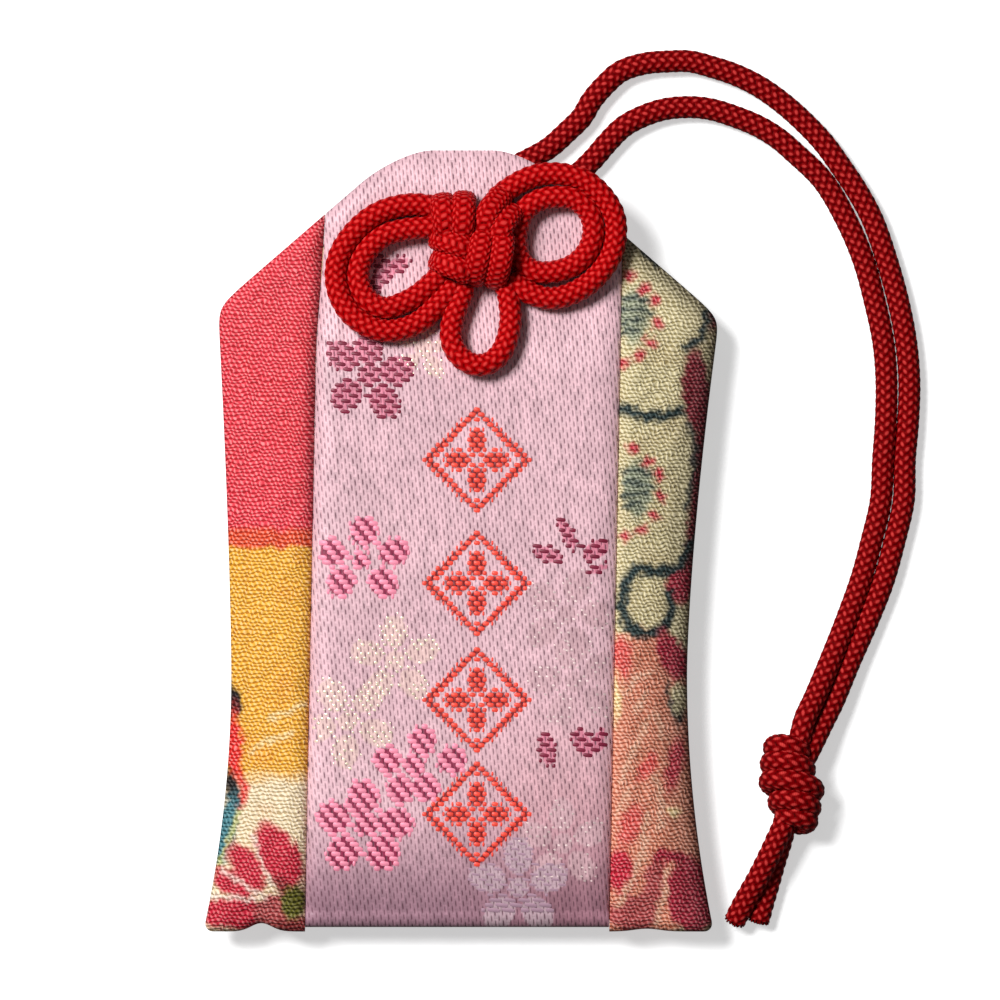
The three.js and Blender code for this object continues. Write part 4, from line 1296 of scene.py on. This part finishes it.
# Wadding: rows in millimetres, columns in shares of its width, and its lumps
PAD_STEP = 0.6
PAD_COLUMN = 0.018
PAD_RIM = 0.05
PAD_CLEARANCE = 1.02
BROAD_LUMPS, BROAD_LUMP_SIZE = 0.12, 2.2
FINE_LUMPS, FINE_LUMP_SIZE = 0.06, 0.9


def table_route(points, rises, cord):
    """A route on the table: at the cord's radius, with rises over its last points."""
    points = np.asarray(points, float)
    height = np.full(len(points), cord.diameter / MM / 2)
    height[len(points) - len(rises):] += rises
    return np.column_stack([points + (KNOT_X, KNOT_Y), height])


def face_route(points, cord):
    """A route on the face of the pouch, just clear of the cloth."""
    points = np.asarray(points, float) + (KNOT_X, KNOT_Y)
    height = face_height(points[:, 1]) + EAR_GAP + cord.diameter / MM / 2
    return np.column_stack([points, height])


def settle(piece, slot, *nodes):
    """Hides the solids that a piece stands for. Its slot is not used."""
    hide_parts(*nodes)
    return piece


def metres(*point):
    """A point in metres from millimetres."""
    return tuple(float(value) * MM for value in point)


class CHARM_OT_stage(bpy.types.Operator):
    """Pale floor, soft key light from the upper left, even fill, and a camera that looks straight down"""

    bl_idname = "charm.stage"
    bl_label = "Stage"

    def execute(self, context):
        stage = context.scene.charm_stage
        context.scene.view_settings.view_transform = "Standard"
        self.place_camera(context.scene, stage)
        self.hang_light(context.scene, stage)
        floor = self.lay_floor(stage)
        return {"FINISHED"}

    @staticmethod
    def place_camera(scene, stage):
        """Camera over the picture's middle, with a lens that takes in the picture's width."""
        camera = bpy.data.objects.new("camera", bpy.data.cameras.new("camera"))
        scene.collection.objects.link(camera)
        camera.location = metres(PICTURE_X, PICTURE_Y, EDGE_MID + stage.camera_height / MM)
        camera.data.sensor_width = SENSOR_WIDTH
        camera.data.lens = SENSOR_WIDTH * stage.camera_height / (PICTURE_WIDTH * MM)
        camera.data.clip_end = 2 * stage.floor_size
        scene.camera = camera

    @staticmethod
    def hang_light(scene, stage):
        """Square key light turned to the charm, and an even white fill."""
        key = bpy.data.objects.new("key", bpy.data.lights.new("key", "AREA"))
        scene.collection.objects.link(key)
        key.data.energy = stage.key_power
        key.data.size = stage.key_size
        key.location = KEY_PLACE
        key.rotation_euler = (-key.location).to_track_quat("-Z", "Y").to_euler()
        world = bpy.data.worlds.new("studio")
        world.use_nodes = True
        background = world.node_tree.nodes["Background"]
        background.inputs["Color"].default_value = (1, 1, 1, 1)
        background.inputs["Strength"].default_value = stage.fill
        scene.world = world

    @staticmethod
    def lay_floor(stage):
        """Pale paper with faint specks, which glows a little and throws no light on the charm."""
        finish = Finish("floor_paper")
        speck = finish.noise(object_places(finish), 0.4)
        colour = finish.mix(speck, FLOOR_DARK, FLOOR_LIGHT)
        side = np.linspace(-0.5, 0.5, FLOOR_POINTS) * stage.floor_size / MM
        x, y = np.meshgrid(side, side)
        sheet = Surface(np.stack([x, y, np.zeros_like(x)], axis=-1), np.stack([x, y], axis=-1))
        shine = {"Emission_Color": colour, "Emission_Strength": FLOOR_GLOW}
        floor = make_piece("floor", [sheet], finish.done(Base_Color=colour, Roughness=0.9, **shine))
        floor.visible_diffuse = False
        floor.visible_glossy = False
        return floor


class CHARM_OT_end_knot(bpy.types.Operator):
    """Overhand knot of the doubled cord: wraps that cross both strands on a slant, and two cut tails"""

    bl_idname = "charm.end_knot"
    bl_label = "End Knot"

    def execute(self, context):
        cord = context.scene.charm_cord
        # The loop, knot and tails take the darker red, which is painted shade
        red = cord_finish("cord_loop_shaded", cord.loop_shaded_red)
        heading = math.radians(END_HEADING)
        ahead = np.array([math.cos(heading), math.sin(heading), 0])
        across = np.array([-ahead[1], ahead[0], 0])
        rise = np.array([0, 0, 1])
        centre = np.array([KNOT_X + END_KNOT[0], KNOT_Y + END_KNOT[1], END_HEIGHT + cord.diameter / MM / 2])
        turn = math.radians(END_WRAP_TURN)
        normal = ahead * math.cos(turn) + across * math.sin(turn)
        level = across * math.cos(turn) - ahead * math.sin(turn)
        angle = np.arange(0, 2 * np.pi, RING_STEP / END_HEIGHT)[:, None]
        surfaces = []
        for place, offset, reach, radius in END_WRAPS:
            middle = centre + ahead * place + across * offset
            upward = radius * (rise - END_WRAP_LEAN * ahead)
            line = middle + reach * level * np.cos(angle) + upward * np.sin(angle)
            surfaces.append(braid(line, normal, cord, closed=True))
        knot = make_piece("overhand_knot", surfaces, red)
        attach(settle(knot, "cord", "end_knot"), "carry_loop")
        tails = (("tail_left", TAIL_LEFT, LEFT_FALL), ("tail_right", TAIL_RIGHT, RIGHT_FALL))
        for name, route, fall in tails:
            line = smooth_line(table_route(route, fall, cord), RING_STEP)
            surfaces = [braid(line, rise, cord, (ROUND_END, CUT_END)), self.yarn_ends(line, cord)]
            tail = make_piece("cord_" + name, surfaces, red)
            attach(settle(tail, "cord", name), "carry_loop")
        return {"FINISHED"}

    @staticmethod
    def yarn_ends(line, cord):
        """Cut yarns: short six-sided cones set out over the cord's end in a sunflower spiral, leaning
        outwards."""
        order = np.arange(YARN_COUNT)
        spread = YARN_SPREAD * cord.diameter / MM / 2 * np.sqrt((order + 0.5) / YARN_COUNT)
        turn = order * math.radians(GOLDEN_ANGLE)
        ahead = unit(line[-1] - line[-4])
        side = unit(np.cross((0, 0, 1), ahead))
        up = np.cross(ahead, side)
        out = np.cos(turn)[:, None] * side + np.sin(turn)[:, None] * up
        root = line[-1] - YARN_SINK * ahead + spread[:, None] * out
        length = YARN_LENGTH + YARN_VARY * np.sin(order * YARN_BEAT)
        lean = unit(ahead + YARN_LEAN * (spread[:, None] * out))
        share, thick = np.array(YARN_PROFILE).T
        angle = np.arange(YARN_SIDES) * (2 * np.pi / YARN_SIDES)
        ring = np.cos(angle)[:, None] * side + np.sin(angle)[:, None] * up
        spine = root[:, None] + (length[:, None] * share)[..., None] * lean[:, None]
        points = spine[:, :, None] + thick[None, :, None, None] * ring[None, None]
        places = np.zeros(points.shape[:2] + (YARN_SIDES + 1, 2))
        return Surface(points, places, around=True, relief=0.5)


class CHARM_OT_strands(bpy.types.Operator):
    """Two strands of the carrying loop, from the cord holes to the end knot"""

    bl_idname = "charm.strands"
    bl_label = "Carrying Loop"

    def execute(self, context):
        cord = context.scene.charm_cord
        red = bpy.data.materials["cord_loop_shaded"]
        strands = (("strand_outer", STRAND_OUTER, OUTER_CLIMB), ("strand_inner", STRAND_INNER, INNER_CLIMB))
        for name, points, climb in strands:
            line = smooth_line(table_route(points, climb, cord), RING_STEP)
            strand = make_piece("cord_" + name, [braid(line, (0, 0, 1), cord, roll=STRAND_ROLL)], red)
            settle(strand, "cord", name)
            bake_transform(strand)
        return {"FINISHED"}


class CHARM_OT_bow(bpy.types.Operator):
    """Bow: five ears that lie on the face, and the crossed straps of the knot that holds them"""

    bl_idname = "charm.bow"
    bl_label = "Bow"

    def execute(self, context):
        cord = context.scene.charm_cord
        red = cord_finish("cord_bow", cord.bow_red)
        for name, points in BOW_EARS.items():
            line = smooth_line(face_route(points, cord), RING_STEP)
            ear = make_piece(name.replace("loop", "ear"), [braid(line, (0, 0, 1), cord)], red)
            settle(ear, "cord", name)
            side = name.split("_")[2]
            hinge = np.array(JOINTS["bow_" + side + "_lift"]["pos_m"])
            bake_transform(ear)
        base = np.array([KNOT_X, KNOT_Y, face_height(KNOT_Y) + FIT_GAP])
        surfaces = []
        for strap in STRAPS:
            line = smooth_line(base + np.array(strap), STRAP_STEP)
            run = unit((line[-1] - line[0]) * (1, 1, 0))
            surfaces.append(braid(line, np.array([-run[1], run[0], 0]), cord, section=PRESSED))
        knot = make_piece("bow_straps", surfaces, red)
        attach(settle(knot, "cord", "bow_knot"), "pouch")
        for name, sign in (("left", -1), ("right", 1)):
            low, high = (corner.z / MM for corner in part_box("cord_lead_" + name))
            x = KNOT_X + sign * HOLE_SPACING / 2
            heights = (low, (low + high) / 2, high)
            line = smooth_line([(x, KNOT_Y, height) for height in heights], RING_STEP)
            lead = make_piece("lead_" + name, [braid(line, (0, 1, 0), cord)], red)
            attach(settle(lead, "cord", "cord_lead_" + name), "pouch")
        return {"FINISHED"}


class CHARM_OT_brocade(bpy.types.Operator):
    """Brocade strip: one band down the front, round the bottom fold and up the back, with woven blossoms"""

    bl_idname = "charm.brocade"
    bl_label = "Brocade Strip"

    def execute(self, context):
        cloth = context.scene.charm_cloth
        woven = motifs()
        surfaces = [self.band(cloth, woven)]
        surfaces += [woven_floats(motif, cloth) for motif in woven]
        strip = make_piece("brocade_band", surfaces, brocade_finish(cloth))
        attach(settle(strip, "brocade", "brocade_strip"), "pouch")
        return {"FINISHED"}

    @staticmethod
    def band(cloth, woven):
        """The band as a grid. Rows run from a hem inside the mouth over the top edge, down the front, round
        the bottom and up the back to the other hem. Columns run from the right seam to the left, and turn in
        at both."""
        height = TOP_Y - BOTTOM_Y
        front = TOP_Y - eased_steps(height, FRONT_STEP, EDGE_REACH)
        back = BOTTOM_Y + eased_steps(height, BACK_STEP, EDGE_REACH)[1:]
        hem = TOP_Y - np.array(HEM)
        y = np.concatenate([hem, front, back, hem[::-1]])[:, None]
        hidden = np.zeros(hem.size)
        sheet = np.concatenate([hidden, np.ones(front.size), -np.ones(back.size), hidden])[:, None]
        facing = np.where(np.arange(y.size) < hem.size + front.size, 1, -1)[:, None]
        share = eased_steps(STRIP_WIDTH, STRIP_STEP, SEAM_EASE)[None, :] / STRIP_WIDTH
        right = np.minimum(seam_x(1, y) - SEAM_CLEARANCE, half_width(1, y))
        left = np.maximum(seam_x(-1, y) + SEAM_CLEARANCE, -half_width(-1, y))
        x = right + (left - right) * share
        y = np.broadcast_to(y, x.shape)
        low, high = TOP_Y - np.array(LIP_DEPTH)
        lip = LIP_LIFT * smoothstep(y, low, high) * (1 - smoothstep(np.abs(x), *LIP_WIDTH))
        z = np.where(sheet > 0, strip_height(x, y, cloth), back_height(x, y) + seam_drop(x, y, cloth))
        z = np.where(sheet > 0, np.maximum(z, EDGE_MID + lip), np.minimum(z, EDGE_MID - lip))
        z = np.where(sheet == 0, EDGE_MID + facing * HEM_LIFT, z)
        y = y + FOLD_RISE * near_fold(y)
        x, y, z = turned_in(x, y, z, -TUCK, TUCK)
        points = np.stack([x, y, z], axis=-1)
        along = np.where(facing > 0, y, 2 * BOTTOM_Y - y)
        tint = strip_colours(x, y, facing > 0, cloth, woven)
        return Surface(points, np.stack([x, along], axis=-1), tint=tint, raised=0.0, glint=0.0)


class CHARM_OT_side_panels(bpy.types.Operator):
    """Crepe side panels: each one sheet from the front seam round the edge to the back seam"""

    bl_idname = "charm.side_panels"
    bl_label = "Side Panels"

    def execute(self, context):
        cloth = context.scene.charm_cloth
        for name, side, pattern, seed in (("left", -1, left_print, 31), ("right", 1, right_print, 47)):
            surface = self.panel(side, pattern, seed, cloth)
            panel = make_piece("crepe_panel_" + name, [surface], crepe_finish("crepe_" + name, cloth))
            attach(settle(panel, "crepe_" + name, "side_panel_" + name), "pouch")
        return {"FINISHED"}

    @staticmethod
    def crinkle(x, y, seed):
        """Uneven height of the crepe: broad and fine random heights, each closer along one axis."""
        broad = BROAD_CRINKLE * wander(x * BROAD_STRETCH, y, BROAD_SIZE, seed)
        return broad + FINE_CRINKLE * wander(x, y * FINE_STRETCH, FINE_SIZE, seed + 1)

    def panel(self, side, pattern, seed, cloth):
        """A panel as a grid. Rows go up the panel to the point where the seam meets the slope. Columns go
        from the front seam to the edge and back to the back seam, and turn in at both seams. The left
        panel's rows are reversed, so that both face outwards."""
        level = np.linspace(0, TOP_Y, TOP_TRIES)
        top = level[np.argmin(np.abs(half_width(side, level) - side * seam_x(side, level)))]
        y = (BOTTOM_Y + eased_steps(top - BOTTOM_Y, PANEL_STEP, EDGE_REACH))[::side, None]
        out = eased_steps(PANEL_WIDTH, PANEL_STEP, SEAM_EASE)[None, :] / PANEL_WIDTH
        home = 1 - eased_steps(PANEL_WIDTH, PANEL_BACK_STEP, SEAM_EASE)[None, 1:] / PANEL_WIDTH
        seam = seam_x(side, y) + side * SEAM_CLEARANCE
        edge = side * half_width(side, y)
        x = seam + (edge - seam) * np.hstack([out, home])
        y = np.broadcast_to(y, x.shape)
        facing = np.where(np.arange(x.shape[1]) < out.size, 1, -1)[None, :]
        drop = seam_drop(x, y, cloth)
        z = np.where(facing > 0, front_height(x, y) - drop, back_height(x, y) + drop)
        inside = smoothstep(edge_distance(x, y), *CRINKLE_EDGE) * smoothstep(np.abs(x - seam), *CRINKLE_SEAM)
        z = z + facing * inside * self.crinkle(x, y, seed)
        notch = sum(rise * np.exp(-(((x - place) / width) ** 2)) for place, rise, width in NOTCHES)
        y = y + notch * near_fold(y)
        tuck = side * np.minimum(TUCK, np.abs(edge - seam) / 2)
        x, y, z = turned_in(x, y, z, tuck, tuck)
        facing = np.hstack([np.ones((1, 2)), facing, -np.ones((1, 2))])
        across = np.where(facing > 0, x, 2 * side * half_width(side, y) - x)
        return Surface(np.stack([x, y, z], axis=-1), np.stack([across, y], axis=-1), tint=pattern(x, y))


class CHARM_OT_seams(bpy.types.Operator):
    """Sewing thread that lies in both seams, down the front, round the bottom fold and up the back"""

    bl_idname = "charm.seams"
    bl_label = "Seam Threads"

    def execute(self, context):
        cloth = context.scene.charm_cloth
        finish = thread_finish(cloth)
        for name, side in (("left", -1), ("right", 1)):
            thread = make_piece("sewing_thread_" + name, [self.thread(side)], finish)
            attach(settle(thread, "thread", "seam_thread_" + name), "pouch")
        return {"FINISHED"}

    @staticmethod
    def thread(side):
        """Two-ply thread: its radius falls by the groove's share between the plies, which twist round it."""
        shoulder = OUTLINES[side].shoulder_y
        top = shoulder + THREAD_TOP * (TOP_Y - shoulder)
        y = np.linspace(top, BOTTOM_Y + EDGE_REACH, THREAD_PLACES)
        x = seam_x(side, y)
        fold = BOTTOM_Y + THREAD_DEPTH
        turn = np.array([[seam_x(side, fold), fold, EDGE_MID]])
        front = np.column_stack([x, y, front_height(x, y) - THREAD_DEPTH])
        back = np.column_stack([x, y, back_height(x, y) + THREAD_DEPTH])[::-1]
        line = smooth_line(np.vstack([front, turn, back]), THREAD_STEP)
        ahead = unit(np.gradient(line, axis=0))
        level = unit(np.cross((1, 0, 0), ahead))
        up = np.cross(ahead, level)
        angle = np.linspace(0, 2 * np.pi, THREAD_SIDES, endpoint=False)[None, :]
        along = arc_length(line)[:, None]
        ply = np.abs(np.cos(angle - 2 * np.pi * along / PLY_TURN))
        ends = np.minimum(1, np.minimum(along, along[-1] - along) / THREAD_TAPER)
        radius = THREAD_RADIUS * (1 - PLY_GROOVE + PLY_GROOVE * ply) * ends
        out = np.cos(angle)[..., None] * level[:, None] + np.sin(angle)[..., None] * up[:, None]
        points = line[:, None] + radius[..., None] * out
        places = np.zeros((len(line), THREAD_SIDES + 1, 2))
        return Surface(points, places, around=True, relief=ply)


class CHARM_OT_filling(bpy.types.Operator):
    """What the pouch holds: wadding over a card, and a wooden slip in a paper sleeve"""

    bl_idname = "charm.filling"
    bl_label = "Filling"

    def execute(self, context):
        wadding = make_piece("wadding_pad", [self.pad()], wadding_finish())
        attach(settle(wadding, "wadding", "wadding_sheet"), "pouch")
        for node, board in BOARDS.items():
            finish = board_finish(*board)
            for slot in frame["nodes"][node].material_slots:
                slot.material = finish
        return {"FINISHED"}

    @staticmethod
    def pad():
        """Wadding: a flat base and a crown that keeps clear of the cloth, rising from the rim as a quarter
        circle, lumpy by smooth random heights. Rows go up the front and down the base again."""
        base = CARD_TOP + FIT_GAP
        low, high = BOTTOM_Y + WADDING_INSET, BELLY_TOP
        rise = low + eased_steps(high - low, PAD_STEP, WADDING_TAPER)
        y = np.concatenate([rise, rise[-2:0:-1]])[:, None]
        top = np.arange(y.size)[:, None] < rise.size
        inset = {side: half_width(side, y) - WADDING_INSET * PAD_CLEARANCE for side in OUTLINES}
        share = eased_steps(1.0, PAD_COLUMN, PAD_RIM)[None, :]
        x = -inset[-1] + (inset[1] + inset[-1]) * share
        y = np.broadcast_to(y, x.shape)
        ceiling = front_height(x, y, CLOTH_THICKNESS) - FIT_GAP
        inward = np.minimum(edge_distance(x, y, WADDING_INSET), high - y) / WADDING_TAPER
        broad = 0.5 + 0.5 * wander(x, y, BROAD_LUMP_SIZE, seed=61)
        fine = 0.5 + 0.5 * wander(x, y, FINE_LUMP_SIZE, seed=62)
        lumps = 1 - BROAD_LUMPS * broad - FINE_LUMPS * fine
        within = (share > 0) & (share < 1)
        z = base + np.where(top & within, (ceiling - base) * rounded(inward) * lumps, 0.0)
        points = np.stack([x, y, z], axis=-1)
        places = np.stack([np.vstack([x, x[:1]]), np.vstack([y, y[:1]])], axis=-1)
        return Surface(points, places, closed=True)


OPERATORS = (
    CHARM_OT_stage,
    CHARM_OT_end_knot,
    CHARM_OT_strands,
    CHARM_OT_bow,
    CHARM_OT_brocade,
    CHARM_OT_side_panels,
    CHARM_OT_seams,
    CHARM_OT_filling,
)
SETTINGS = {"charm_cord": CordSettings, "charm_cloth": ClothSettings, "charm_stage": StageSettings}


class CHARM_PT_pieces(bpy.types.Panel):
    """Sizes and colours of the charm, and the steps that make it"""

    bl_label = "Omamori Charm"
    bl_space_type = "VIEW_3D"
    bl_region_type = "UI"
    bl_category = "Charm"

    def draw(self, context):
        for name, kind in SETTINGS.items():
            box = self.layout.box()
            box.label(text=kind.__doc__)
            for key in kind.__annotations__:
                box.prop(getattr(context.scene, name), key)
        for operator in OPERATORS:
            self.layout.operator(operator.bl_idname)


def register():
    """Adds the settings, the operators and the panel."""
    for kind in (*SETTINGS.values(), *OPERATORS, CHARM_PT_pieces):
        bpy.utils.register_class(kind)
    for name, kind in SETTINGS.items():
        setattr(bpy.types.Scene, name, bpy.props.PointerProperty(type=kind))


def unregister():
    """Takes the settings, the operators and the panel away again."""
    for name in SETTINGS:
        delattr(bpy.types.Scene, name)
    for kind in (CHARM_PT_pieces, *reversed(OPERATORS), *SETTINGS.values()):
        bpy.utils.unregister_class(kind)


def main():
    """Makes every piece in order."""
    register()
    for operator in OPERATORS:
        group, name = operator.bl_idname.split(".")
        getattr(getattr(bpy.ops, group), name)()


if __name__ == "__main__":
    main()
